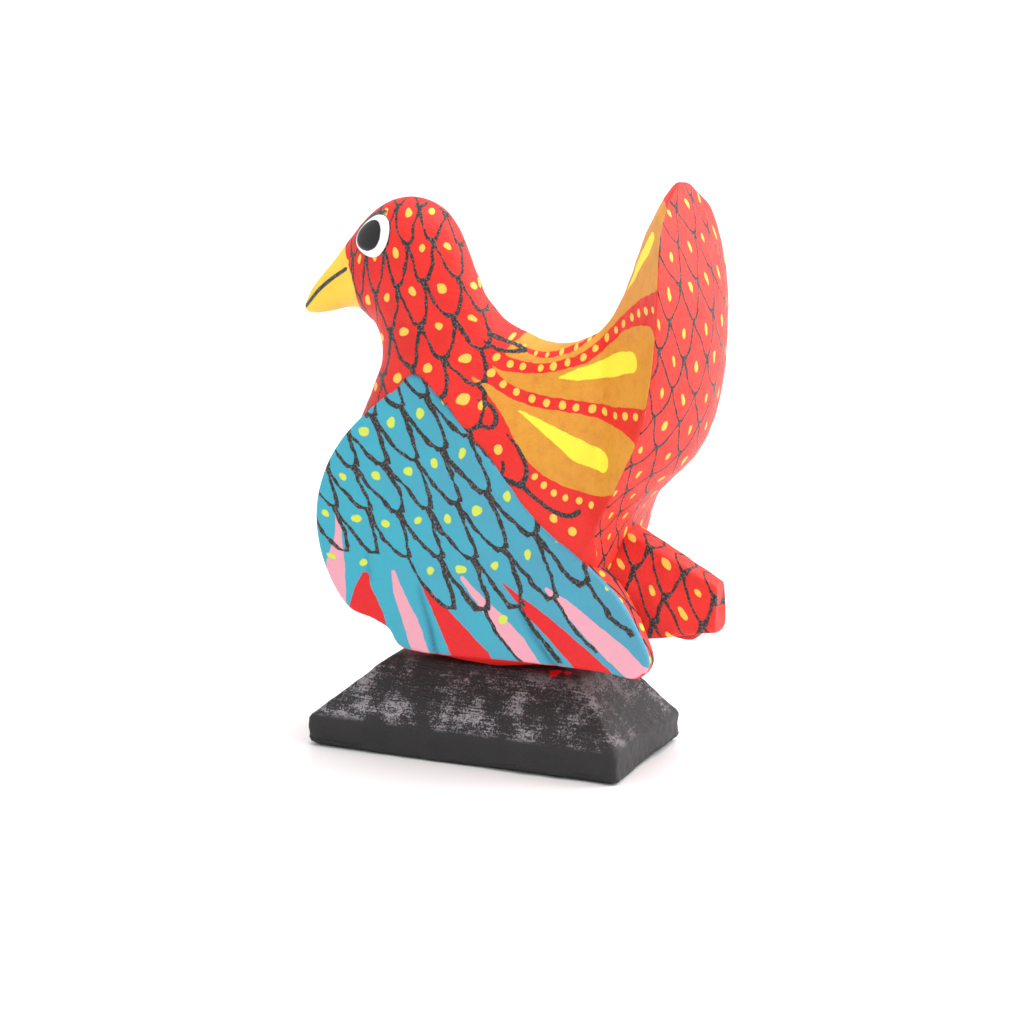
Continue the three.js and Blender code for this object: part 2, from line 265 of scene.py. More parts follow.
def colour(red, green, blue):  # a colour as a screen shows it, 0 to 255, made linear
    def one(c):
        c /= 255
        return c / 12.92 if c <= 0.04045 else ((c + 0.055) / 1.055) ** 2.4
    return one(red), one(green), one(blue), 1.0


class PaintBox:
    # one material and its nodes
    def __init__(self, name):
        self.material = bpy.data.materials.new(name)
        self.material.use_nodes = True
        self.nodes = self.material.node_tree.nodes
        self.links = self.material.node_tree.links
        self.shader = self.nodes["Principled BSDF"]
        place = self.add("TexCoord", {}, {}, "Object")
        scaled = {0: place, "Scale": 1 / mm}
        self.place = self.add("VectorMath", {"operation": "SCALE"}, scaled)  # in mm
        self.x, self.y, self.z = self.parts(self.place)

    def add(self, kind, settings, values, out=0):
        # any node: its type, then its settings, then what its sockets take
        node = self.nodes.new("ShaderNode" + kind)
        for name, value in settings.items():
            setattr(node, name, value)
        for socket, value in values.items():
            self.feed(node.inputs[socket], value)
        return Wire(self, node, out)

    def feed(self, socket, value):
        if isinstance(value, Wire):
            self.links.new(value.socket, socket)
        else:
            socket.default_value = value

    def set(self, **values):
        for name, value in values.items():
            self.feed(self.shader.inputs[name.replace("_", " ")], value)

    def mixed(self, a, b, share):  # one colour going over to another
        return self.add("Mix", {"data_type": "RGBA"}, {0: share, 6: a, 7: b}, 2)

    def joined(self, x, y, z=0.0):
        return self.add("CombineXYZ", {}, {0: x, 1: y, 2: z})

    def parts(self, vector):  # its three numbers
        x = self.add("SeparateXYZ", {}, {0: vector})
        return x, x.also("Y"), x.also("Z")

    def mark(self, name):  # three numbers that the mesh holds
        return self.parts(self.add("Attribute", {"attribute_name": name}, {}, "Vector"))

    def chance(self, cell):  # three random numbers, the same all over a cell
        settings = {"noise_dimensions": "3D"}
        return self.parts(self.add("TexWhiteNoise", settings, {"Vector": cell}, "Color"))

    def noise(self, size, detail=2.0, rough=0.5, where=None, colours=False):
        # an even, cloudy pattern whose patches are about that many mm across
        values = {"Vector": where or self.place, "Scale": 1 / size, "Detail": detail}
        values["Roughness"] = rough
        return self.add("TexNoise", {}, values, "Color" if colours else 0)

    def ragged(self, size, amount, detail=2.0):  # a number that strays round 0
        return (self.noise(size, detail) - 0.5) * amount

    def wobble(self, size, detail=1.0):  # two that stray apart
        x, y, _ = self.parts(self.noise(size, detail, 0.5, colours=True))
        return x - 0.5, y - 0.5

    def length(self, a, b):
        return (a * a + b * b) ** 0.5

    def bump(self, height, distance, strength=1.0, under=None):
        # distance is what a height of 1 stands for, in mm
        values = {"Height": height, "Distance": distance * mm, "Strength": strength}
        if under:
            values["Normal"] = under
        return self.add("Bump", {}, values)

    def inked(self, tone, ink):
        # black pen over a colour, with pale specks on it: painted glints of light on the glossy ink
        glintSpecks = self.noise(0.27, 3.0, 0.75).between(0.5, 0.64)
        dark = self.mixed(coat["ink"], coat["inkGlint"], glintSpecks * 0.75)
        return self.mixed(tone, dark, ink)

    def scales(self, u, v, wide, high, look, keep=None, lean=0.0):
        # Rows of painted scales. u counts scales along a row and v counts rows, each
        # row shifted by half a scale. wide and high are a scale's size and lean is the
        # cosine of the angle between its two directions. A scale's lower edge is the
        # curve 1 - (2|du|)^point across its row, drawn with a pen that leaves a blob
        # where strokes meet; how far a place is from it is the curve's height there
        # over its slope. keep says which scales to ink and to dot.
        row = v.math("FLOOR", v)
        shift = row.math("FLOORED_MODULO", row, 2.0) * 0.5
        column = (u - shift).math("ROUND", u - shift)
        du = u - shift - column
        fv = v - row
        side = abs(du) * 2
        point = look["point"]
        slope = side ** (point - 1) * (2 * point)
        steep = slope * slope / wide**2 + 1 / high**2
        if lean:
            steep = steep - slope * du.math("SIGN", du) * (2 * lean / (wide * high))
        away = abs(fv - 1 + side**point) * (1 - lean**2) ** 0.5 / steep**0.5
        tip = self.length(du * wide, (1 - fv) * high)
        meet = self.length((0.5 - abs(du)) * wide, fv * high)
        near = tip.least(meet) / look["blob"]
        pooled = near.math("EXPONENT", -(near * near))
        pen = self.noise(1.4, 2.0) * 2.5 - 0.25 + pooled * look["pool"]
        ink = (pen * (look["pen"] / 2) + self.ragged(0.5, 0.12) - away).edge()
        right, up, bigger = self.chance(self.joined(column + shift, row, look["seed"]))
        dx = du * wide + (right - 0.5) * look["stray"]
        dz = (fv - look["dotAt"]) * high + (up - 0.5) * look["stray"]
        size = look["dot"] * (0.85 + bigger * 0.3)
        tall = dz / look.get("tall", 1.0)
        fromDot = (dx * dx + tall * tall + dx * dz * (2 * lean)) ** 0.5
        dot = (size - fromDot + self.ragged(0.9, 0.35, 0.0)).edge(0.1)
        if keep:
            inked, dotted = keep(column + shift, row, du)
            return ink * inked, dot * dotted
        return ink, dot


carvingLook = {
    # ribs from the beak's tip over the head, neck and back to the tail's tip: the top
    # point's x and z, the bottom point's x and z, the half width, how much of the slice
    # has the back's shape and the tail's shape, and how far the tail's back swells
    "ribs": [
        (26.9, 57.8, 26.5, 56.3, 0.7, 0, 0, 0), (26.0, 59.7, 25.0, 56.4, 1.5, 0, 0, 0),
        (24.2, 62.1, 22.8, 57.0, 2.4, 0, 0, 0), (22.3, 64.5, 20.6, 57.7, 3.2, 0, 0, 0),
        (20.5, 67.0, 18.7, 57.7, 4.0, 0, 0, 0), (18.2, 69.9, 17.0, 56.6, 4.8, 0, 0, 0),
        (15.1, 72.4, 15.8, 55.6, 5.5, 0, 0, 0), (11.6, 73.5, 15.2, 53.9, 5.9, 0, 0, 0),
        (8.0, 72.6, 15.1, 51.7, 6.1, 0, 0, 0), (5.3, 69.7, 15.7, 49.0, 6.2, 0, 0, 0),
        (3.7, 65.9, 17.0, 46.0, 6.4, 0, 0, 0), (1.8, 61.6, 18.5, 42.3, 7.0, 0.2, 0, 0),
        (-1.2, 58.2, 20.0, 37.3, 8.2, 0.5, 0, 0), (-5.2, 56.4, 20.5, 30.7, 9.2, 0.8, 0, 0),
        (-8.2, 55.9, 19.2, 23.4, 9.5, 1, 0, 0), (-10.3, 56.0, 14.0, 15.5, 9.5, 1, 0, 0),
        (-11.8, 56.3, 5.0, 12.0, 9.5, 1, 0, 0), (-12.9, 56.8, -6.0, 12.0, 9.5, 1, 0, 0),
        (-13.9, 57.4, -15.6, 16.3, 9.5, 0.9, 0.1, 0), (-15.0, 58.2, -18.7, 26.4, 9.8, 0.5, 0.5, 0),
        (-15.9, 59.3, -20.4, 34.2, 11.0, 0, 1, 0.02), (-17.2, 61.1, -23.6, 40.4, 12.3, 0, 1, 0.1),
        (-18.5, 63.8, -26.6, 47.6, 12.5, 0, 1, 0.26), (-20.0, 67.7, -28.2, 56.6, 12.5, 0, 1, 0.36),
        (-21.6, 72.2, -28.4, 66.1, 11.6, 0, 1, 0.34), (-23.4, 76.1, -27.4, 73.5, 8.8, 0, 1, 0.2),
        (-24.9, 78.3, -26.6, 77.3, 4.7, 0, 1, 0.1),
    ],
    "beakTip": (bodyHigh[0], 0, 56.9),
    "tailTip": (-26.3, 0, fanHigh[2]),
    "ridge": 0.34,  # the back's ridge, as a share of the half width
    "slope": 0.4,  # the share of a back slice where its slope reaches the full width
    "rim": 0.625,  # the share of a tail slice's half turn that is its side
    "fanRidge": 0.22,
    "reach": 0.92,  # how far down a tail slice its rim lies, as a share of its length
    "rings": 340,
    "halfTurn": 138,
    "rounding": 0.45,  # how far a sharp edge is sanded round
    "knifeMarks": 0.09,  # how uneven the knife and sandpaper left it
    "foot": blockHigh[2] + 0.02,
    "jointTop": (-13.5, 57.9),
    "jointFoot": (-19.0, 31.9),
}


def sliceAt(turn, saddle, fan, swell):
    # Half a slice's outline, from its top at turn 0 to its foot at turn 1: how far down
    # the slice each point lies and how far out. An oval is a half circle stretched; a
    # back slice is a narrow ridge that slopes out to a flat side; a tail slice widens to
    # its rim and comes back in a straight line behind.
    look = carvingLook
    along = (1 - np.cos(math.pi * turn)) / 2
    oval = np.sin(math.pi * turn)
    roundTop = np.sqrt(np.maximum(1 - (1 - np.minimum(along / 0.08, 1)) ** 2, 0))
    roundFoot = np.sqrt(np.maximum(1 - np.maximum((along - 0.84) / 0.16, 0) ** 2.4, 0))
    climb = smoothStep(along, 0, look["slope"])
    back = mix(look["ridge"], 1, climb) * roundTop * roundFoot
    side = np.minimum(turn / look["rim"], 1)
    rear = np.maximum((turn - look["rim"]) / (1 - look["rim"]), 0)
    reach = look["reach"]
    fanAlong = reach * side**1.4 + (1 + swell - reach) * (1 - (1 - rear) ** 2)
    ridge = look["fanRidge"] * (1 - (1 - side) ** 3)
    fanOut = (ridge + (1 - look["fanRidge"]) * side**1.5) * (1 - rear)
    round_ = 1 - saddle - fan
    return (
        (round_ + saddle) * along + fan * fanAlong,
        round_ * oval + saddle * back + fan * fanOut,
    )


ribTable = np.array(carvingLook["ribs"], float)


def carvingAt(place, turn):
    # a point of the bird's left side: the rib curves read at a place, and the slice
    # there read at a turn
    rib = smoothRow(ribTable, place)
    topX, topZ, footX, footZ, half, saddle, fan, swell = np.moveaxis(rib, -1, 0)
    along, out = sliceAt(turn, saddle, fan, swell)
    return np.stack([mix(topX, footX, along), half * out, mix(topZ, footZ, along)], -1)


paintLook = {
    # the ochre panels on each side of the back, [x, z] round their edges
    "upperPanel": [
        (-3.2, 54.9), (-4.9, 54.2), (-7.3, 53.9), (-10.5, 54.4), (-13.2, 55.5), (-15.1, 57.0),
        (-17.0, 59.1), (-19.7, 61.8), (-23.5, 65.0), (-28.4, 68.6), (-29.4, 72), (-27.2, 76.4),
        (-24.6, 77.2), (-18.0, 70), (-12.5, 62), (-6.5, 58.5),
    ],
    "middlePanel": [
        (-1.8, 53.4), (-3.0, 52.8), (-5.8, 52.6), (-9.1, 52.9), (-12.5, 53.9), (-14.7, 54.8),
        (-18.0, 57.8), (-20.2, 59.8), (-23.6, 61.6), (-26.8, 62.5), (-28.4, 60.5), (-28.2, 55.0),
        (-26.8, 52.3), (-23.8, 51.4), (-18.2, 50.1), (-13.2, 50.1), (-9.7, 50.1), (-6.2, 50.6),
        (-3.8, 51.5),
    ],
    "lowerPanel": [
        (0.8, 52.0), (-1.7, 51.1), (-4.1, 49.8), (-7.9, 48.7), (-11.0, 48.6), (-15.3, 48.5),
        (-18.5, 48.1), (-21.9, 48.1), (-25.4, 47.0), (-24.6, 43.0), (-22.4, 40.2), (-20.7, 39.4),
        (-18.3, 38.7), (-15.8, 39.0), (-12.6, 40.0), (-10.1, 41.2), (-8.2, 42.6), (-6.4, 44.5),
        (-4.7, 46.7), (-2.7, 49.0), (-1.0, 50.6),
    ],
    # bright strokes inside them: the middle line and the half widths along it
    "drops": [
        ([(-19.4, 64.3), (-20.7, 66.6), (-22.2, 69.2), (-23.4, 71.1), (-24.3, 72.9)],
         [0, 0.35, 0.6, 0.75, 0.6]),
        ([(-10.6, 52.4), (-13.8, 53.2), (-17.0, 54.2), (-20.4, 55.9), (-22.8, 56.8)],
         [0, 0.75, 1.05, 1.4, 1.25]),
        ([(-5.4, 48.4), (-9.2, 46.8), (-13.3, 45.2), (-16.7, 43.7), (-19.0, 43.1)],
         [0, 0.45, 0.85, 1.35, 1.3]),
    ],
    # rows of small dots: the line they follow, their spacing and their radius
    "dotRows": [
        ([(-1.2, 54.9), (-3.4, 53.8), (-5.4, 53.4), (-8.5, 53.4), (-11.5, 54.2), (-14.3, 55.5),
          (-17.0, 58.2), (-20.6, 61.2), (-23.4, 63.2), (-27.4, 65.2)], 2.05, 0.42),
        ([(-1.2, 53.0), (-3.6, 51.1), (-5.9, 50.1), (-9.0, 49.4), (-12.6, 49.3), (-16.4, 49.3),
          (-20.1, 49.4), (-23.7, 50.3), (-27.6, 51.3)], 2.15, 0.44),
        ([(-9.0, 41.0), (-11.5, 39.1), (-13.2, 38.2), (-15.6, 37.8), (-18.8, 37.1)], 1.75, 0.46),
        ([(-2.6, 57.0), (-5.0, 55.7), (-7.0, 55.0), (-9.2, 55.0), (-11.0, 55.5), (-12.8, 56.3),
          (-14.6, 57.8)], 1.9, 0.27),
    ],
    "topLine": [
        (-4.6, 55.8), (-7.0, 55.0), (-9.2, 55.0), (-11.0, 55.5), (-12.8, 56.3), (-14.6, 57.8),
    ],
    "topLineHalves": [0.15, 0.32, 0.32, 0.15],
    "looseDots": [(-1.5, 48.5), (-4.3, 43.2), (-12.6, 35.0), (-15.2, 33.5)],
    # pen strokes between the wing and the lower panel
    "penStrokes": [
        ([(-0.3, 56.2), (-2.2, 55.3), (-4.1, 55.1), (-5.6, 55.3)], [0.14, 0.2, 0.2, 0.26]),
        ([(-5.6, 55.3), (-4.4, 55.8), (-2.4, 56.4), (-0.6, 57.1)], [0.24, 0.16, 0.2, 0.26]),
        ([(-0.8, 49.3), (-2.6, 48.4), (-3.5, 46.9), (-3.2, 45.9), (-1.8, 45.9)],
         [0.16, 0.26, 0.3, 0.26]),
        ([(-5.2, 45.2), (-7.0, 43.6), (-8.3, 41.9), (-8.7, 40.6), (-8.0, 39.0)],
         [0.16, 0.24, 0.28, 0.42]),
        ([(-2.2, 42.4), (-4.4, 40.2), (-6.6, 39.2), (-8.2, 38.9)], [0.24, 0.3, 0.36, 0.46]),
        ([(-8.2, 38.9), (-10.4, 37.2), (-12.8, 35.9), (-14.9, 35.6), (-16.0, 36.2)],
         [0.36, 0.26, 0.3, 0.36]),
    ],
    "beak": [
        (21.9, 68.1), (20.6, 66.6), (19.3, 64.9), (18.4, 63.2), (18.1, 61.9), (17.95, 60.8),
        (17.9, 59.5), (17.85, 58.6), (18.0, 57.0), (18.5, 50.0), (40.0, 50.0), (40.0, 75.0),
        (23.0, 75.0),
    ],
    "mouth": [(19.5, 63.9), (21.8, 62.2), (24.3, 60.0), (25.8, 58.3), (27.0, 57.0)],
    "mouthHalves": [0.24, 0.26, 0.22],
    "rimWidth": 12,  # how far round its edge the tail's back paint begins lower down
    "lowest": 24,  # no scales are drawn on the body below this height
}


def carving():
    look = carvingLook
    count = look["halfTurn"]
    fine = np.linspace(0, len(ribTable) - 1, 2000)
    ends = smoothRow(ribTable, fine)[:, :4]
    step = np.linalg.norm(np.diff(ends[:, :2], axis=0), axis=1)
    step += np.linalg.norm(np.diff(ends[:, 2:], axis=0), axis=1)
    run = np.concatenate([[0], np.cumsum(step)])
    place = np.interp(np.linspace(0, run[-1], look["rings"]), run, fine)
    turn = np.linspace(0, 1, count + 1)
    left = carvingAt(place[:, None], turn[None, :])
    grid = mirrored(left, [1, -1, 1])

    # how far each point lies from the ridge, measured over the surface
    arc = np.linalg.norm(np.diff(left, axis=1), axis=2).cumsum(axis=1)
    arc = np.concatenate([np.zeros((len(place), 1)), arc], axis=1)
    rib = smoothRow(ribTable, place)
    down = rib[:, 2:4] - rib[:, 0:2]
    down /= np.linalg.norm(down, axis=1)[:, None]
    middle = carvingAt(place, np.full(len(place), 0.5))[:, [0, 2]]
    half = np.array([np.interp(0.5, turn, a) for a in arc])[:, None]
    side = middle[:, None] + down[:, None] * (arc - half)[..., None]
    atRim = np.array([np.interp(look["rim"], turn, a) for a in arc])[:, None]
    behind = arc - atRim - paintLook["rimWidth"] * (1 - smoothStep(rib[:, 6], 0.1, 0.7))[:, None]
    across = arc[:, -1:] - arc
    foot = np.linalg.norm(np.diff(rib[:, 2:4], axis=0), axis=1)
    fromTip = (foot.sum() - np.concatenate([[0], foot.cumsum()]))[:, None] + 0 * arc

    x, z = left[..., 0], left[..., 2]
    paint = paintLook
    behind = np.where(z < paint["lowest"], -9, behind)
    panels = [insideOf(x, z, curveThrough(paint[k], 90, closed=True))
              for k in ("upperPanel", "middlePanel", "lowerPanel")]
    ochre = np.minimum(np.maximum.reduce(panels), -behind - 0.15)
    ochre = np.minimum(ochre, -strokeDepth(x, z, paint["topLine"], paint["topLineHalves"]))
    pen = deepest(x, z, paint["penStrokes"])
    loose = np.minimum.reduce([np.hypot(x - a, z - b) for a, b in paint["looseDots"]])
    drops = deepest(x, z, paint["drops"])
    beak = insideOf(x, z, np.array(paint["beak"]))
    mouth = strokeDepth(x, z, paint["mouth"], paint["mouthHalves"])
    rowAway, rowAlong, rowDot = np.full(x.shape, 99.0), np.zeros(x.shape), np.zeros(x.shape)
    for number, (line, spacing, radius) in enumerate(paint["dotRows"]):
        away, along, _ = fromLine(x, z, curveThrough(line, 50))
        nearer = away < rowAway
        rowAway = np.where(nearer, away, rowAway)
        rowAlong = np.where(nearer, along / spacing + 40 * number, rowAlong)
        rowDot = np.where(nearer, radius, rowDot)

    def both(*three):
        return mirrored(np.stack(three, -1))

    marks = {
        "side": both(side[..., 0], side[..., 1], behind),
        "tail": np.stack([mirrored(across, -1), mirrored(fromTip), 0 * grid[..., 0]], -1),
        "pen": both(pen, loose, rowDot),
        "panel": both(ochre, drops, beak),
        "row": both(rowAlong, rowAway, mouth),
    }

    # sanded edges: each point takes the mean of its neighbours round the ring
    width = look["rounding"] / np.maximum(arc[:, -1:, None] / count, 0.02)
    width = np.clip(width, 0, 2)
    for _ in range(3):
        mean = (np.roll(grid, 1, axis=1) + np.roll(grid, -1, axis=1)) / 2
        grid = grid + (mean - grid) * np.minimum(width / 2, 0.8)
    # under each wing board the wood lies lower
    gx, gy, gz = np.moveaxis(grid, -1, 0)
    under = insideOf(gx, gz, wingEdge(90))
    limit = wingFace(gx, gz) - 0.6 * smoothStep(under, 0.0, 0.8)
    gy = np.where(under > 0, np.clip(gy, -limit, limit), gy)
    grid = np.stack([gx, gy, gz], -1)
    uneven = lumps(grid, 9, 3) + 0.6 * lumps(grid, 3.6, 4)
    uneven *= look["knifeMarks"] * np.minimum(rib[:, 4:5] / 6, 1)
    grid = grid + outward(grid) * uneven[..., None]

    # the two tips are rounded: rings shrink by the cosine of an angle on their way to
    # the pole, and go there by its sine squared
    def rounded(ring, pole, mark):
        centre = ring.mean(axis=0)
        angle = np.linspace(0, math.pi / 2, 11)[1:-1, None, None]
        rings = centre + (ring - centre) * np.cos(angle) + (pole - centre) * np.sin(angle) ** 2
        return rings, mark + 0 * angle

    first, last = grid[0], grid[-1]
    tips = {k: (rounded(first, look["beakTip"], v[0]), rounded(last, look["tailTip"], v[-1]))
            for k, v in marks.items()}
    start, finish = tips["side"][0][0][::-1], tips["side"][1][0]
    capped = tips["tail"][1][1]  # the pattern goes on over the tail's tip
    shrink = np.cos(np.linspace(0, math.pi / 2, 11)[1:-1])[:, None]
    capped[..., 0] *= shrink
    capped[..., 1] -= 1.6 * (1 - shrink**2)
    grid = np.concatenate([start, grid, finish])
    marks = {k: np.concatenate([tips[k][0][1][::-1], v, tips[k][1][1]]) for k, v in marks.items()}
    return grid, marks


wingLook = {
    "outline": [
        (8.5, 51.8), (11.6, 48.9), (14.9, 45.8), (18.0, 42.1), (20.3, 37.8), (21.5, 32.6),
        (20.9, 27.3), (19.2, 23.1), (16.4, 19.5), (13.0, 18.4), (10.8, 17.3), (9.2, 15.2),
        (6.0, 14.6), (-3.1, 14.8), (-12.7, 15.1), (-20.5, 15.1), (-25.0, 14.9), (-26.5, 17.1),
        (-25.0, 21.1), (-21.9, 25.5), (-16.6, 29.8), (-11.4, 33.6), (-7.0, 38.3), (-1.1, 44.3),
        (4.4, 49.3),
    ],
    "middle": (-2.0, 28.0),
    "shoulder": (8.5, wingHigh[2]),
    "face": 9.75,
    "shoulderDip": 2.6,
    "shoulderReach": 10,
    "footLift": 0.9,
    "footFrom": 37,
    "footTo": 15,
    "thick": 2.2,
    "heel": (-17, 28),
    "heelThick": 2,
    "heelReach": 8,
    "edgeRound": 1.1,
    "edgeDrop": 0.75,
    "around": 440,
    "faceRings": 84,
    # V-cuts between the flight feathers: the line, and how deep it is at its two ends
    "cuts": [
        ([(6.6, 24.6), (5.7, 21.6), (4.6, 18.2), (3.7, 14.4)], 0.25, 0.8),
        ([(-7.3, 23.6), (-9.2, 20.4), (-11.3, 17.6), (-13.6, 14.6)], 0.2, 0.8),
        ([(13.9, 28.6), (13.8, 26.6), (13.4, 24.0)], 0.1, 0.35),
    ],
    "cutWidth": 0.75,
    "cutDepth": 0.45,
    "knifeMarks": 0.07,
    # brush strokes on the flight feathers: the middle line and the half widths
    "pink": [
        ([(18.2, 32.4), (18.0, 29.6), (18.3, 25.2), (18.1, 21.8), (17.5, 18.6)],
         [0.25, 0.55, 1.35, 1.45, 0.9]),
        ([(9.95, 25.2), (9.5, 23.6), (8.6, 21.4), (7.3, 18.6), (5.6, 14.0)],
         [0.3, 0.75, 1.05, 1.2, 1.15]),
        ([(0.1, 25.6), (-1.4, 24.0), (-3.8, 21.8), (-7.2, 18.2), (-10.6, 15.0)],
         [0.3, 0.65, 1.1, 1.4, 0.75]),
        ([(-12.0, 25.5), (-14.4, 23.8), (-18.2, 20.8), (-22.0, 18.0), (-25.2, 15.4)],
         [0.3, 0.9, 1.3, 1.6, 1.5]),
    ],
    "crimson": [
        ([(14.0, 24.3), (14.2, 22.6), (14.0, 20.4), (13.8, 17.0)], [0.5, 1.5, 2.6, 3.0]),
        ([(6.1, 24.4), (4.6, 22.6), (2.0, 19.2), (-1.6, 14.4)], [0.05, 0.95, 1.8, 2.7]),
        ([(-5.7, 25.6), (-8.6, 23.2), (-13.2, 19.8), (-19.6, 14.4)], [0.05, 0.95, 1.4, 1.9]),
    ],
}


def wingEdge(count):
    return curveThrough(wingLook["outline"], count, closed=True)


def wingFace(x, z):
    # how far the painted face lies from the middle plane: a steady distance, less a
    # round dip at the shoulder, plus a smooth lift toward the foot
    look = wingLook
    sx, sz = look["shoulder"]
    near = np.exp(-((x - sx) ** 2 + (z - sz) ** 2) / look["shoulderReach"] ** 2)
    lift = smoothStep(look["footFrom"] - z, 0, look["footFrom"] - look["footTo"])
    return look["face"] - look["shoulderDip"] * near + look["footLift"] * lift


def wingBoard(name, side):
    # Rings that shrink from the outline to the board's middle, over the face, round
    # the edge on a quarter circle, and down the back.
    look = wingLook
    edge = wingEdge(look["around"])
    middle = np.array(look["middle"])
    way = edge - middle
    length = np.linalg.norm(way, axis=1)
    way /= length[:, None]
    n = look["faceRings"]
    turn = np.linspace(0, math.pi / 2, 9)[1:]
    share = np.linspace(0.012, 1, n)
    reach = share[:, None] * (length - look["edgeRound"])
    reach = np.concatenate([
        reach, length - look["edgeRound"] * (1 - np.sin(turn))[:, None],
        np.tile(length, (6, 1)), length - 0.3 * np.ones((1, 1)), length - 1.0 * np.ones((1, 1)),
        np.linspace(0.9, 0.03, 6)[:, None] * (length - 1),
    ])
    sunk = np.concatenate([np.zeros(n), look["edgeDrop"] * (1 - np.cos(turn))])
    wall = np.linspace(0, 1, 7)[1:]
    x = middle[0] + way[:, 0] * reach
    z = middle[1] + way[:, 1] * reach
    hx, hz = look["heel"]
    thick = look["thick"] + look["heelThick"] * np.exp(
        -((x - hx) ** 2 + (z - hz) ** 2) / look["heelReach"] ** 2)
    depth = np.zeros(x.shape)
    depth[: len(sunk)] = sunk[:, None]
    start = len(sunk)
    depth[start: start + 6] = mix(look["edgeDrop"], thick[start: start + 6] - 0.3, wall[:, None])
    depth[start + 6] = thick[start + 6] - 0.08
    depth[start + 7:] = thick[start + 7:]

    pink, crimson = deepest(x, z, look["pink"]), deepest(x, z, look["crimson"])
    groove = np.zeros(x.shape)
    for line, shallow, deep in look["cuts"]:
        away, along, run = fromLine(x, z, curveThrough(line, 24))
        fall = np.maximum(1 - away / look["cutWidth"], 0) ** 1.3
        groove = np.maximum(groove, fall * mix(shallow, deep, along / run)
                            * smoothStep(along, 0, 1.5))
    front = np.zeros(x.shape)
    front[: len(sunk)] = 1
    y = wingFace(x, z) - depth - look["cutDepth"] * groove * front
    rings = np.stack([x, side * y, z], -1)
    uneven = lumps(rings, 8, 11) + 0.5 * lumps(rings, 3.0, 12)
    rings[..., 1] += side * look["knifeMarks"] * uneven * front
    inset = length - reach
    run = np.linalg.norm(np.roll(edge, -1, axis=0) - edge, axis=1).cumsum()
    marks = {
        "stroke": np.stack([pink, crimson, groove], -1),
        "edge": np.stack([inset, depth, 0 * inset + run], -1),
    }
    poleZ = middle[1]
    outer = side * wingFace(np.array(middle[0]), np.array(poleZ))
    inner = side * (abs(outer) - look["thick"])
    return skin(name, rings, (middle[0], outer, poleZ), (middle[0], inner, poleZ), marks)


lowerTailLook = {
    "from": -14.5,
    "to": wedgeLow[0] + 0.4,
    "start": -13.0,
    "top": (35.5, 26.2),
    "foot": (17.2, 19.4),
    "crease": (26.4, 23.2),
    "half": (9.0, 1.9),
    "crown": (2.6, 1.3),
    "rings": 110,
    "around": 260,
    "rounding": 0.45,
    "knifeMarks": 0.09,
    "endBulge": 0.35,
}


def lowerTail(name):
    # A wedge: its section is a six-cornered half outline whose sizes go evenly from
    # front to rear. The section's corners are rounded by a moving mean.
    look = lowerTailLook
    xs = np.linspace(look["from"], look["to"], look["rings"])
    t = (xs - look["start"]) / (look["to"] - look["start"])
    top, foot, crease, half, crown = (
        mix(*look[k], t) for k in ("top", "foot", "crease", "half", "crown"))
    zero = 0 * t
    y = np.stack([zero, crown, half * 0.93, half, half, half - 0.6, zero], -1)
    z = np.stack([top, top - 0.15, crease + 0.4, crease - 0.9, foot + 0.7, foot, foot], -1)
    y, z = mirrored(y, -1), mirrored(z)
    rings, arcs = [], []
    for i in range(len(xs)):  # one section at a time, its points spread evenly
        section = np.stack([np.append(y[i], y[i, 0]), np.append(z[i], z[i, 0])], -1)
        run = np.append(0, np.linalg.norm(np.diff(section, axis=0), axis=1).cumsum())
        at = np.linspace(0, run[-1], look["around"], endpoint=False)
        ring = np.stack([0 * at + xs[i], np.interp(at, run, section[:, 0]),
                         np.interp(at, run, section[:, 1])], -1)
        window = max(int(look["rounding"] / (run[-1] / look["around"])), 1)
        ring = sum(np.roll(ring, k, axis=0) for k in range(-window, window + 1))
        rings.append(ring / (2 * window + 1))
        arcs.append(np.minimum(at, run[-1] - at))
    rings, arcs = np.array(rings), np.array(arcs)
    uneven = lumps(rings, 7, 21) + 0.5 * lumps(rings, 2.8, 22)
    rings = rings + outward(rings) * (-look["knifeMarks"] * uneven)[..., None]
    centre = rings[-1].mean(axis=0)
    angle = np.linspace(0, math.pi / 2, 7)[1:-1]
    caps = np.array([
        centre + (rings[-1] - centre) * (1 - 0.5 * (1 - math.cos(a)) * 0.5)
        - [look["endBulge"] * math.sin(a), 0, 0] for a in angle])
    flat = np.array([centre + (caps[-1] - centre) * s for s in (0.8, 0.5, 0.2)])
    shapes = np.concatenate([rings, caps, flat])
    rows = np.concatenate([arcs, np.repeat(arcs[-1:], 8, axis=0)])
    marks = {"unrolled": np.stack([shapes[..., 0], rows, 0 * rows], -1)}
    first = rings[0].mean(axis=0)
    return skin(name, shapes, first, shapes[-1].mean(axis=0), marks)


baseLook = {
    "length": blockHigh[0] - blockLow[0],
    "width": blockHigh[1] - blockLow[1],
    "height": blockHigh[2],
    "skirt": 4.1,
    "topFront": 11.5,
    "topRear": -14.5,
    "topWidth": 11.0,
    "around": 420,
    "rough": 0.16,
    "squareness": 44,  # the power of its corners' superellipse
    "bow": 0.35,
    # splashes of red: x, y, z and the size
    "blots": [(-11.0, 5.0, 12.3, 0.9), (-12.2, 5.6, 11.7, 0.7), (-12.6, 4.7, 12.4, 0.6)],
}


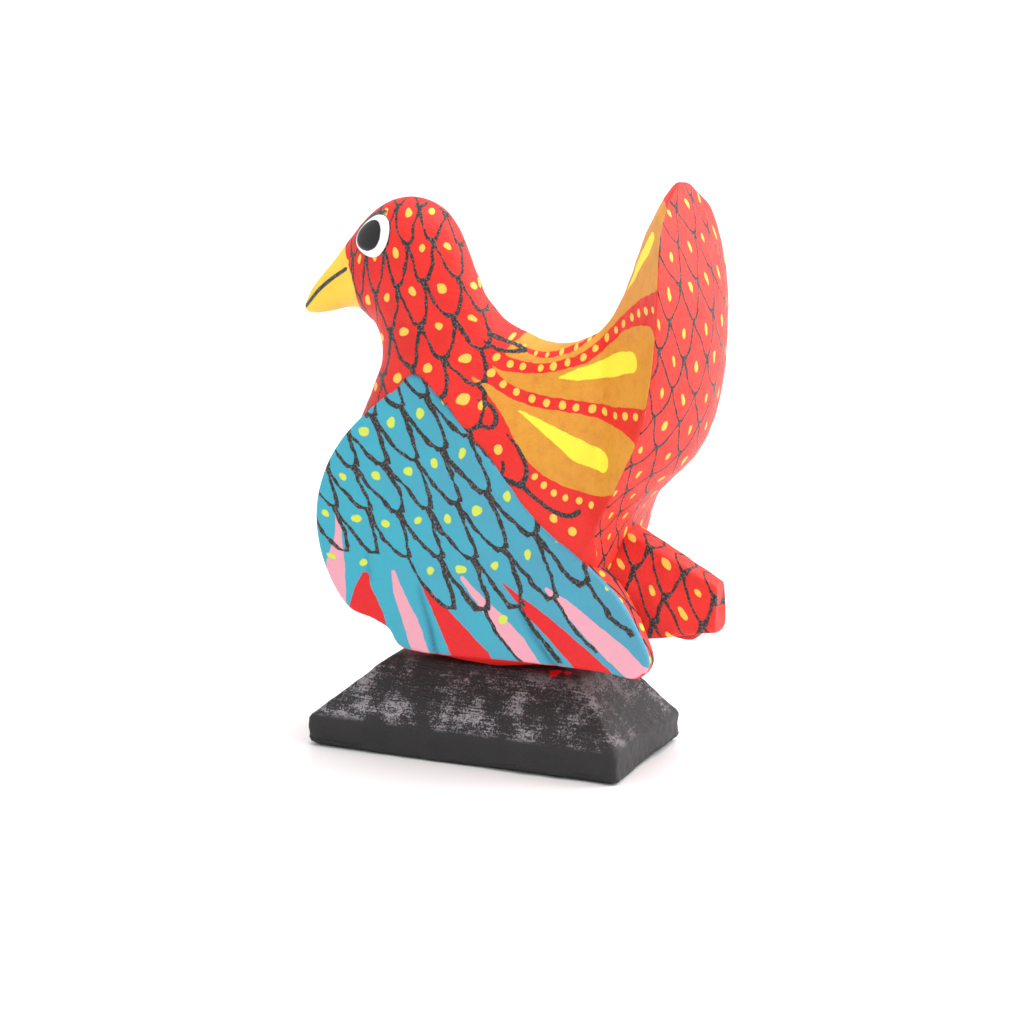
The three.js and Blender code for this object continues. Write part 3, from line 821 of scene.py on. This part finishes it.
def baseBlock(name):
    # Rounded rectangles stacked from the underside up the skirt and the slopes to the
    # flat top: each level gives the rectangle's front, rear and half width.
    look = baseLook
    end, wide = look["length"] / 2, look["width"] / 2
    levels = [  # front, rear, half width, height, and the rings up to the next level
        (end * 0.04, -end * 0.04, wide * 0.04, 0.0, 8), (end - 0.7, 0.7 - end, wide - 0.7, 0.0, 3),
        (end - 0.2, 0.2 - end, wide - 0.2, 0.2, 3), (end, -end, wide, 0.7, 10),
        (end, -end, wide, look["skirt"] - 0.35, 3),
        (end - 0.25, 0.25 - end, wide - 0.15, look["skirt"] + 0.15, 34),
        (look["topFront"] + 0.5, look["topRear"] - 0.5, look["topWidth"] / 2 + 0.4,
         look["height"] - 0.3, 4),
        (look["topFront"] - 0.3, look["topRear"] + 0.3, look["topWidth"] / 2 - 0.3,
         look["height"], 8),
        (0.5, -2.5, 0.3, look["height"], 1),
    ]
    table = np.array(levels)
    spots = np.concatenate([np.linspace(i, i + 1, int(table[i, 4]), endpoint=False)
                            for i in range(len(table) - 1)] + [[len(table) - 1.0]])
    front, rear, half, height = (
        np.interp(spots, np.arange(len(table)), table[:, k])[:, None] for k in range(4))
    # round the rectangle at an even pace, as a superellipse pushed out to its corners
    quarter = look["around"] // 4
    run = np.linspace(-1, 1, quarter, endpoint=False)
    sx = np.concatenate([run, 1 + 0 * run, -run, -1 + 0 * run])
    sy = np.concatenate([-1 + 0 * run, run, 1 + 0 * run, -run])
    power = look["squareness"]
    size = (np.abs(sx) ** power + np.abs(sy) ** power) ** (1 / power)
    sx, sy = sx / size, sy / size
    x = (front + rear) / 2 + sx * (front - rear) / 2
    y = sy * half
    rings = np.stack([x, y, height + 0 * x], -1)
    uneven = lumps(rings, 11, 31) + 0.7 * lumps(rings, 4.5, 32)
    uneven = uneven + 0.35 * lumps(rings, 1.7, 33)
    low = 1 - smoothStep(rings[..., 2], 0.0, 5.0)
    shift = outward(rings) * (look["rough"] * uneven * (0.7 + 0.6 * low))[..., None]
    level = rings[..., 2]
    shift[..., 2] *= smoothStep(level, 0.1, 1.2) * (1 - smoothStep(level, 11.6, 12.5))
    rings = rings + shift
    far, out = end + 0.48, wide + 0.38
    rings = np.clip(rings, [-far, -out, 0], [far, out, 99])
    # the lower edge bows: it rises a little between the corners
    bow = np.clip(look["bow"] * lumps(rings * [1, 1, 0], 16, 35) + 0.25, 0, 1)
    toEdge = np.maximum(np.abs(rings[..., 0]) / end, np.abs(rings[..., 1]) / wide)
    rings[..., 2] += bow * (rings[..., 2] < 1.0) * smoothStep(toEdge, 0.9, 1.0)
    return skin(name, rings, (0, 0, 0), (-1, 0, look["height"]))


eyeLook = {
    "spot": (15.75, 4.5, 69.35),
    "ring": 2.93,
    "pupil": 2.15,
    "pupilForward": 0.45,
    "raised": 0.2,
    "pupilRaised": 0.22,
    "sunk": 0.35,  # how far under the head's surface its back lies
}


def eye(name, side):
    # A low dome of thick paint laid on the head: points of a disc on the carved
    # surface, lifted along its normal by a height that falls off at the rim, with a
    # second, smaller dome for the pupil.
    look = eyeLook
    places = np.linspace(4.6, 7.4, 240)[:, None]
    turns = np.linspace(0.08, 0.7, 240)[None, :]
    near = np.linalg.norm(carvingAt(places, turns + 0 * places) - look["spot"], axis=2)
    i, j = np.unravel_index(near.argmin(), near.shape)
    place, turn = places[i, 0], turns[0, j]
    tiny = 0.02
    centre = carvingAt(np.array(place), np.array(turn))
    byPlace = (carvingAt(np.array(place + tiny), np.array(turn)) - centre) / tiny
    byTurn = (carvingAt(np.array(place), np.array(turn + tiny)) - centre) / tiny
    normal = np.cross(byPlace, byTurn)
    normal *= np.sign(normal[1]) / np.linalg.norm(normal)
    ahead = -byPlace - normal * np.dot(-byPlace, normal)
    ahead /= np.linalg.norm(ahead)
    up = np.cross(ahead, normal)
    up *= np.sign(up[2])
    tangent = np.array([[byPlace @ ahead, byTurn @ ahead], [byPlace @ up, byTurn @ up]])
    solve = np.linalg.inv(tangent)
    share = np.concatenate([np.linspace(0.03, 0.93, 26), np.linspace(0.95, 1, 6), [1.0, 0.6, 0.2]])
    angle = np.linspace(0, 2 * math.pi, 120, endpoint=False)
    a = look["ring"] * share[:, None] * np.cos(angle)
    b = look["ring"] * share[:, None] * np.sin(angle)
    dPlace = solve[0, 0] * a + solve[0, 1] * b
    dTurn = solve[1, 0] * a + solve[1, 1] * b
    on = carvingAt(place + dPlace, turn + dTurn)
    stepPlace = carvingAt(place + dPlace + tiny, turn + dTurn) - on
    stepTurn = carvingAt(place + dPlace, turn + dTurn + tiny / 4) - on
    lift = np.cross(stepPlace, stepTurn)
    lift *= np.sign(lift[..., 1:2]) / np.linalg.norm(lift, axis=2, keepdims=True)
    fromPupil = np.hypot(a - look["pupilForward"], b) / look["pupil"]
    dome = look["raised"] * np.sqrt(np.maximum(1 - np.minimum(share, 1)[:, None] ** 6, 0))
    pupil = look["pupilRaised"] * np.sqrt(np.maximum(1 - np.minimum(fromPupil, 1) ** 3, 0))
    height = dome + pupil
    height[-3:] = -look["sunk"]
    height[-4] = 0.0
    rings = (on + lift * height[..., None]) * [1, side, 1]
    marks = {"eye": np.stack([(1 - fromPupil) * look["pupil"], a, b], -1)}
    first = (centre + normal * (look["raised"] + look["pupilRaised"])) * [1, side, 1]
    last = (centre - normal * look["sunk"]) * [1, side, 1]
    return skin(name, rings, first, last, marks)


coat = {
    "red": colour(231, 34, 24),
    "redDeep": colour(198, 20, 18),
    # paler red: worn paint, and painted sheen where light glances off
    "redWearAndSheen": colour(240, 98, 84),
    "ink": colour(30, 26, 27),
    # pale grey specks on the ink: painted glints
    "inkGlint": colour(132, 120, 122),
    "dot": colour(243, 200, 78),
    "lime": colour(212, 226, 84),
    "ochre": colour(224, 153, 46),
    "ochreDark": colour(208, 134, 36),
    "bright": colour(253, 238, 62),
    "beak": colour(246, 208, 60),
    "beakLow": colour(236, 186, 52),
    "blue": colour(58, 170, 192),
    "blueGrey": colour(84, 146, 176),
    # dark blue: painted shade in the wing's carved V-cuts
    "blueGrooveShade": colour(24, 98, 128),
    "pink": colour(236, 164, 180),
    "crimson": colour(226, 20, 26),
    "white": colour(250, 245, 246),
    "pupil": colour(22, 20, 22),
}


surface = {
    "inkShine": 0.16,
    "dotShine": 0.1,
    "dull": 0.12,
    "grain": 0.26,
    "brush": 1.1,
    "dotRaised": 0.8,
    "inkRaised": 0.4,
    "specular": 0.42,
}


def brushed(box, tone, ink, dots, rough, thick=0.0):
    # Hand-brushed acrylic: brush lines and wood grain under it, with dots, ink and
    # thick paint standing a little proud, and dots and ink shining more.
    look = surface
    shine = rough - ink * look["inkShine"] - dots * look["dotShine"]
    shine = shine + box.noise(0.7, 3.0) * look["dull"]
    grain = box.noise(look["grain"], 3.0, 0.65)
    brush = box.noise(look["brush"], 4.0, 0.6)
    low = box.bump(grain * 0.85 + brush * 0.8, 0.16, 0.8)
    raised = dots * look["dotRaised"] + thick + ink * look["inkRaised"]
    normal = box.bump(raised + ink * box.noise(0.22, 2.0, 0.7) * 1.6, 0.1, 0.9, low)
    box.set(Base_Color=tone, Roughness=shine, Normal=normal,
            Specular_IOR_Level=look["specular"])
    return box.material


def redGround(box):
    patch = box.noise(5.5, 3.0, 0.6)
    tone = box.mixed(coat["red"], coat["redDeep"], patch.between(0.42, 0.72) * 0.45)
    thin = box.noise(1.1, 4.0, 0.7).between(0.6, 0.8) * 0.22
    return box.mixed(tone, coat["redWearAndSheen"], thin)


def bodyPaint():
    box = PaintBox("red painted feathers")
    sideX, sideZ, behind = box.mark("side")
    across, fromTip, _ = box.mark("tail")
    ochre, drop, beak = box.mark("panel")
    along, away, mouth = box.mark("row")
    pen, loose, rowDot = box.mark("pen")
    wx, wz = box.wobble(5.0)
    shiftX, shiftZ = box.wobble(1.6, 0.0)
    x = sideX + wx * 1.5 + shiftX * 0.4
    z = sideZ + wz * 1.5 + shiftZ * 0.4
    # rows of scales that curve round the neck, smaller on the face
    dx = x - 7
    dz = z - 60
    dx = dx + (dx - 7).most(0.0) * 0.5
    nx, nz = dx.most(-10.0).least(12.0), dz.most(-10.0).least(14.0)
    u = 1.815 - dx * 0.222 + dz * 0.066 - nx * nx * 0.002 - nx * nz * 0.006
    v = 1.71 - dx * 0.0565 - dz * 0.187 + nx * nz * 0.0023
    look = {"point": 2.0, "blob": 0.75, "pool": 1.6, "pen": 0.37, "seed": 1.0,
            "stray": 0.5, "dotAt": 0.15, "dot": 0.6}

    def onNeck(column, row, du):  # round the neck, and lower down only before the wings
        last = 3.75 - (row - 2.5).edge(0.1) * 0.5
        high = (3.5 - row).edge(0.1) * (last - column).edge(0.1)
        kept = high.most((2.2 - column).edge(0.1))
        return kept, kept

    ink, dots = box.scales(u, v, 4.3, 5.1, look, onNeck)
    front = (-behind).edge(0.2) * (sideZ - paintLook["lowest"]).edge(0.4)
    dots = dots * front * (-0.3 - ochre).edge(0.2)
    dots = dots.most((0.62 + box.ragged(0.9, 0.2, 0.0) - loose).edge(0.1))
    ink = ink * front
    ink = ink.most((pen + box.ragged(0.5, 0.2)).edge(0.1))

    # the tail's back has taller, finer scales
    rear = behind.edge(0.15)
    tall = {"point": 1.6, "blob": 0.6, "pool": 1.3, "pen": 0.26, "seed": 2.0,
            "stray": 0.9, "dotAt": 0.2, "dot": 0.36, "tall": 1.9}
    backInk, backDots = box.scales(
        across / 5.0 + wx * 0.35, fromTip / 4.2 + wz * 0.4 - abs(across) * 0.02, 5.0, 4.2, tall)
    ink = ink.most(backInk * rear)
    dots = dots.most(backDots * rear)

    # rows of small dots between the panels
    bead = (along.math("FRACT", along) - 0.5) * 2.1
    ahead, bigger, _ = box.chance(box.joined(along.math("FLOOR", along), 3.0))
    lined = box.length(bead + (ahead - 0.5) * 0.5, away)
    beads = (rowDot + bigger * 0.1 + box.ragged(0.8, 0.18, 0.0) - lined).edge(0.1)
    beads = beads * (-0.1 - behind).edge(0.2)
    dots = dots.most(beads)

    tone = redGround(box)
    # painted sheen: the tail's back and a band along the fan's rim are paler red, where light
    # glances off them
    sheenOnRearAndRim = rear * 0.35 + (0.6 - abs(behind + 0.2)).edge(0.5) * 0.3
    tone = box.mixed(tone, coat["redWearAndSheen"], sheenOnRearAndRim * box.noise(1.3, 4.0, 0.7))
    wavyEdge = box.ragged(1.2, 0.35)
    panel = (ochre + wavyEdge).edge(0.1)
    ochreTone = box.mixed(coat["ochre"], coat["ochreDark"],
                          box.noise(1.6, 5.0, 0.7).between(0.4, 0.75) * 0.8)
    tone = box.mixed(tone, ochreTone, panel)
    streak = (drop + wavyEdge * 0.6).edge(0.1) * panel
    tone = box.mixed(tone, coat["bright"], streak)
    tone = box.mixed(tone, coat["dot"], dots)
    tone = box.inked(tone, ink)

    # the beak, its mouth line and the dark brow round the eye
    bill = (beak + wavyEdge * 0.5).edge(0.1)
    low = (57.5 + (27 - box.x) * 0.55 - box.z).between(0.0, 2.4) * 0.5
    tone = box.mixed(tone, box.mixed(coat["beak"], coat["beakLow"], low), bill)
    sx, sy, sz = eyeLook["spot"]
    ex, ey, ez = box.x - sx, abs(box.y) - sy, box.z - sz
    fromEye = (ex * ex + ey * ey + ez * ez) ** 0.5
    forward = ex * 0.62 + ez * 0.5 - ey * 0.6
    brow = (eyeLook["ring"] + 0.75 - fromEye + wavyEdge).edge(0.12)
    brow = brow * (forward - 0.6).between(0.0, 1.2)
    rim = (eyeLook["ring"] + 0.16 - fromEye).edge(0.1)
    lines = (mouth.edge(0.1) * (beak + 0.3).edge(0.2)).most(brow * (1 - bill)).most(rim * 0.7)
    tone = box.inked(tone, lines)
    ink = (ink * (1 - bill)).most(lines)

    return brushed(box, tone, ink, dots, 0.46, streak * 0.35 + panel * 0.2)


def wingPaint():
    box = PaintBox("blue painted feathers")
    pink, crimson, groove = box.mark("stroke")
    inset, depth, run = box.mark("edge")
    wx, wz = box.wobble(5.5)
    shiftX, shiftZ = box.wobble(1.5, 0.0)
    x = box.x + wx * 1.6 + shiftX * 0.35
    z = box.z + wz * 1.6 + shiftZ * 0.35
    # rows of scales down from the shoulder, longer toward the rear, each row leaning
    dx, dz = x / 10, z / 10 - 3.3
    u = 2.845 - dx * 1.828 + dz * 1.314 - dx * dx * 0.12 + dx * dz * 0.111 + dz * dz * 0.058
    v = 1.373 - dx * 0.436 - dz * 1.299 + dx * dx * 0.114 - dx * dz * 0.282 + dz * dz * 0.085
    look = {"point": 2.15, "blob": 0.85, "pool": 1.2, "pen": 0.5, "seed": 5.0,
            "stray": 0.4, "dotAt": 0.2, "dot": 0.62}

    def onWing(column, row, du):
        # every scale of the upper rows, most of the next, and a few trailing strokes
        upper = (1.5 - row).edge(0.1)
        second = (0.5 - abs(row - 2)).edge(0.1)
        third = (0.5 - abs(row - 3)).edge(0.1)
        trail = third * (column - 2.25).edge(0.1) * (-0.1 - du).edge(0.05)
        inked = upper.most(second * (column - 0.75).edge(0.1)).most(trail)
        few = third * (0.25 - abs(abs(column - 4) - 1.5)).edge(0.1)
        return inked, upper.most(second * (abs(column) - 0.25).edge(0.1)).most(few)

    rearward = (-x / 25).clipped()
    ink, dots = box.scales(u, v, rearward * 1.1 + 4.4, rearward * 1.4 + 7.5, look, onWing, 0.35)
    front = (box.x - 9).edge(1.5)
    face = (0.62 + front * 1.2 - depth).edge(0.25)
    dots = dots * face * (inset + front - 0.4).edge(0.4)

    # blue, greyer toward the rear, streaked along the feathers
    way = box.joined(u * 4.4, v * 1.4, box.y * 0.2)
    streak = box.noise(1.6, 3.0, 0.6, way)
    greyer = (box.x * -0.035 + box.z * 0.012 + 0.1 + (box.noise(4.0, 2.0) - 0.5) * 1.4).clipped()
    tone = box.mixed(coat["blue"], coat["blueGrey"], greyer * 0.55 + streak.between(0.5, 0.8) * 0.2)
    # painted shade: the blue darkens in the carved V-cuts between the feathers
    tone = box.mixed(tone, coat["blueGrooveShade"], (groove * 1.5).clipped() * 0.75)
    wavyEdge = box.ragged(1.3, 0.35)
    rosy = (pink + wavyEdge).edge(0.1)
    tone = box.mixed(tone, coat["pink"], rosy)
    wedge = (crimson + wavyEdge).edge(0.1)
    tone = box.mixed(tone, coat["crimson"], wedge)
    tone = box.mixed(tone, coat["lime"], dots)
    tone = box.inked(tone, ink * face)

    # the board's edge is red, with scales of its own where it is thick
    rimLook = {"point": 1.7, "blob": 0.7, "pool": 1.0, "pen": 0.4, "seed": 7.0,
               "stray": 0.4, "dotAt": 0.3, "dot": 0.55}
    rimInk, rimDots = box.scales(depth / 3.0 + 0.4, run / 4.4, 3.0, 4.4, rimLook)
    onRim = 1 - (0.62 + front * 1.6 - depth + wavyEdge * 0.5).edge(0.1)
    footEdge = (15.8 - box.z + wavyEdge).edge(0.15) * (0.3 - inset + wavyEdge * 0.5).edge(0.2)
    tone = box.mixed(tone, coat["crimson"], footEdge)
    # the edge's red is paler in patches: worn paint, and painted sheen
    rimTone = box.mixed(redGround(box), coat["redWearAndSheen"], box.noise(1.2, 4.0, 0.7) * 0.5)
    behind = (-5 - box.x).edge(1.0) * (box.z - 16).edge(0.3)
    rimTone = box.mixed(rimTone, coat["dot"], rimDots * behind)
    rimTone = box.mixed(rimTone, coat["ink"], rimInk * behind)
    tone = box.mixed(tone, rimTone, onRim)

    return brushed(box, tone, ink * face, dots, 0.48, rosy * 0.25 + wedge * 0.25)


def lowerTailPaint():
    box = PaintBox("red painted lower tail")
    x, down, _ = box.mark("unrolled")
    wx, wz = box.wobble(4.5)
    u = x / -4.3 - down * 0.04 + wx * 0.3 + 0.2
    v = down / 4.4 + x * 0.03 + wz * 0.3 + 0.3
    look = {"point": 1.6, "blob": 0.7, "pool": 1.3, "pen": 0.34, "seed": 9.0,
            "stray": 0.6, "dotAt": 0.2, "dot": 0.56}
    ink, dots = box.scales(u, v, 4.3, 4.4, look)
    dots = dots * (x + 31.8).edge(0.3)
    tone = redGround(box)
    # painted sheen: the red is paler along the top of the lower tail, where light falls on it
    tone = box.mixed(tone, coat["redWearAndSheen"], (1.8 - down).edge(1.5) * 0.4 * box.noise(1.2, 4.0, 0.7))
    tone = box.mixed(tone, coat["dot"], dots)
    tone = box.inked(tone, ink)
    return brushed(box, tone, ink, dots, 0.46)


def eyePaint():
    box = PaintBox("glossy eye paint")
    pupil, _, _ = box.mark("eye")
    inside = (pupil + (box.noise(1.0, 1.0) - 0.5) * 0.16).edge(0.07)
    tone = box.mixed(coat["white"], coat["pupil"], inside)
    box.set(Base_Color=tone, Roughness=0.42 - inside * 0.2, Specular_IOR_Level=0.5,
            Normal=box.bump(box.noise(0.3, 2.0, 0.6), 0.02, 0.6))
    return box.material


def basePaint():
    # black paint with broken pale streaks along the grain of the block: painted sheen that stands
    # for light reflected off it, densest on the slopes
    box = PaintBox("rubbed black paint")
    long_ = box.joined(box.x * 0.16, box.y * 0.5, box.z * 1.9)
    grainy = box.noise(0.55, 5.0, 0.75, long_)
    speck = box.noise(0.26, 4.0, 0.8)
    patch = box.noise(4.5, 3.0, 0.6)
    # the painted sheen begins above the skirt and fades toward the top, leaving painted shade under
    # the wing
    slope = (box.z - 4.1).between(0.0, 0.8) * (1 - (box.z - 10.4).between(0.0, 2.0) * 0.7)
    paintedSheen = (grainy * 0.55 + speck * 0.95 + patch * 0.8 - 1.14).between(0.0, 0.1) * slope
    # the painted sheen is stronger on the long sides than on the ends, as the light falls
    near = 0.45 + (abs(box.y) / (abs(box.x) * 0.5 + 4)).clipped() * 0.55
    tone = box.mixed(colour(18, 17, 19), colour(36, 34, 37), patch)
    tone = box.mixed(tone, colour(186, 182, 188), paintedSheen * near * 0.72)
    red = box.noise(1.1, 2.0)
    for sx, sy, sz, size in baseLook["blots"]:
        dx, dy, dz = box.x - sx, box.y - sy, box.z - sz
        blot = (size - (dx * dx + dy * dy + dz * dz) ** 0.5 + (red - 0.5) * 1.4).edge(0.15)
        tone = box.mixed(tone, coat["crimson"], blot)
    height = grainy * 0.7 + speck * 0.5 + paintedSheen * 0.3
    box.set(Base_Color=tone, Roughness=0.38 + paintedSheen * 0.12 + speck * 0.25,
            Normal=box.bump(height, 0.22, 1.0), Specular_IOR_Level=0.5)
    return box.material


def bareWood():
    # pale turned wood: rings from the distance to a wandering axis, and fine pores
    box = PaintBox("bare turned wood")
    wx, wz = box.wobble(9.0)
    rings = box.length(box.y + wx * 3, box.z * 0.3 + wz * 3) * 2.2
    band = rings.math("FRACT", rings).between(0.2, 0.9)
    pores = box.noise(0.25, 3.0, 0.7)
    tone = box.mixed(colour(222, 190, 146), colour(196, 156, 108), band * 0.6 + pores * 0.3)
    box.set(Base_Color=tone, Roughness=0.72 + pores * 0.1,
            Normal=box.bump(pores + band * 0.4, 0.05, 0.6))
    return box.material


bodyMaterial = bodyPaint()
wingMaterial = wingPaint()
print("paint mixed")

grid, marks = carving()
jointTop, jointFoot = carvingLook["jointTop"], carvingLook["jointFoot"]
along = Vector((jointTop[0] - jointFoot[0], 0, jointTop[1] - jointFoot[1])).normalized()
rearward = Vector((-along.z, 0, along.x))
onJoint = (jointFoot[0], 0, jointFoot[1])

body = skin("bird_body", grid, carvingLook["beakTip"], carvingLook["tailTip"], marks)
cut(body, onJoint, rearward)
cut(body, (0, 0, carvingLook["foot"]), (0, 0, -1))
fan = skin("fan_tail", grid, carvingLook["beakTip"], carvingLook["tailTip"], marks)
cut(fan, onJoint, -rearward)
print("carving made")

leftWing = wingBoard("left_wing", 1)
rightWing = wingBoard("right_wing", -1)
tail = lowerTail("lower_tail_wedge")
block = baseBlock("black_block")
eyes = [eye("left_eye", 1), eye("right_eye", -1)]
print("wings, lower tail, block and eyes made")

finished = [
    (body, bodyMaterial, "body", "red_paint"),
    (fan, bodyMaterial, "tail_fan", "red_paint"),
    (leftWing, wingMaterial, "wing_left", "blue_paint"),
    (rightWing, wingMaterial, "wing_right", "blue_paint"),
    (tail, lowerTailPaint(), "lower_tail", "red_paint"),
    (block, basePaint(), "base_block", "black_paint"),
]
for piece, material, node, slot in finished:
    piece.data.materials.append(material)
    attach(piece, "root")
    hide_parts(node)
eyeMaterial = eyePaint()
for piece in eyes:
    piece.data.materials.append(eyeMaterial)
    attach(piece, "root")

wood = bareWood()
for name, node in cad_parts.items():
    if "dowel" in name or "peg" in name:
        node.data.materials.clear()
        node.data.materials.append(wood)
print("pieces finished")


stageLook = {
    "floor": colour(250, 249, 249),
    "azimuth": 203.5,
    "elevation": 16.5,
    "distance": 1.2,
    "aim": (-0.0021, -0.0011, 0.0318),
    "lens": 320.2,
    "world": 0.85,
    "overhead": 5.0,
    "behind": 5.0,
}


def floorPlane():
    mesh = bpy.data.meshes.new("floor")
    size = 3.0
    corners = [(-size, -size, 0), (size, -size, 0), (size, size, 0), (-size, size, 0)]
    mesh.from_pydata(corners, [], [(0, 1, 2, 3)])
    box = PaintBox("pale floor")
    tone = box.mixed(stageLook["floor"], colour(244, 243, 243), box.noise(60.0, 2.0))
    box.set(Base_Color=tone, Roughness=0.38, Specular_IOR_Level=0.35)
    mesh.materials.append(box.material)
    placed("floor", mesh)


def softBox(name, at, target, size, power):
    data = bpy.data.lights.new(name, "AREA")
    data.shape = "SQUARE"
    data.size = size
    data.energy = power
    lamp = placed(name, data)
    lamp.location = at
    way = Vector(target) - Vector(at)
    lamp.rotation_euler = way.to_track_quat("-Z", "Y").to_euler()


def camera():
    look = stageLook
    a, e = math.radians(look["azimuth"]), math.radians(look["elevation"])
    back = Vector((math.sin(a) * math.cos(e), -math.cos(a) * math.cos(e), math.sin(e)))
    data = bpy.data.cameras.new("camera")
    data.lens = look["lens"]
    data.sensor_width = 36
    data.clip_start, data.clip_end = 0.05, 20
    made = placed("camera", data)
    made.location = Vector(look["aim"]) + back * look["distance"]
    made.rotation_mode = "QUATERNION"
    made.rotation_quaternion = (-back).to_track_quat("-Z", "Y")
    bpy.context.scene.camera = made


floorPlane()
softBox("overhead light", (-0.1, -0.05, 0.75), (0, 0, 0.03), 0.7, stageLook["overhead"])
softBox("rear light", (-0.62, -0.42, 0.42), (-0.02, 0, 0.04), 0.5, stageLook["behind"])
world = bpy.data.worlds.new("studio")
bpy.context.scene.world = world
world.use_nodes = True
world.node_tree.nodes["Background"].inputs["Color"].default_value = (1, 1, 1, 1)
world.node_tree.nodes["Background"].inputs["Strength"].default_value = stageLook["world"]
bpy.context.scene.view_settings.view_transform = "Standard"
camera()
print("stage set")
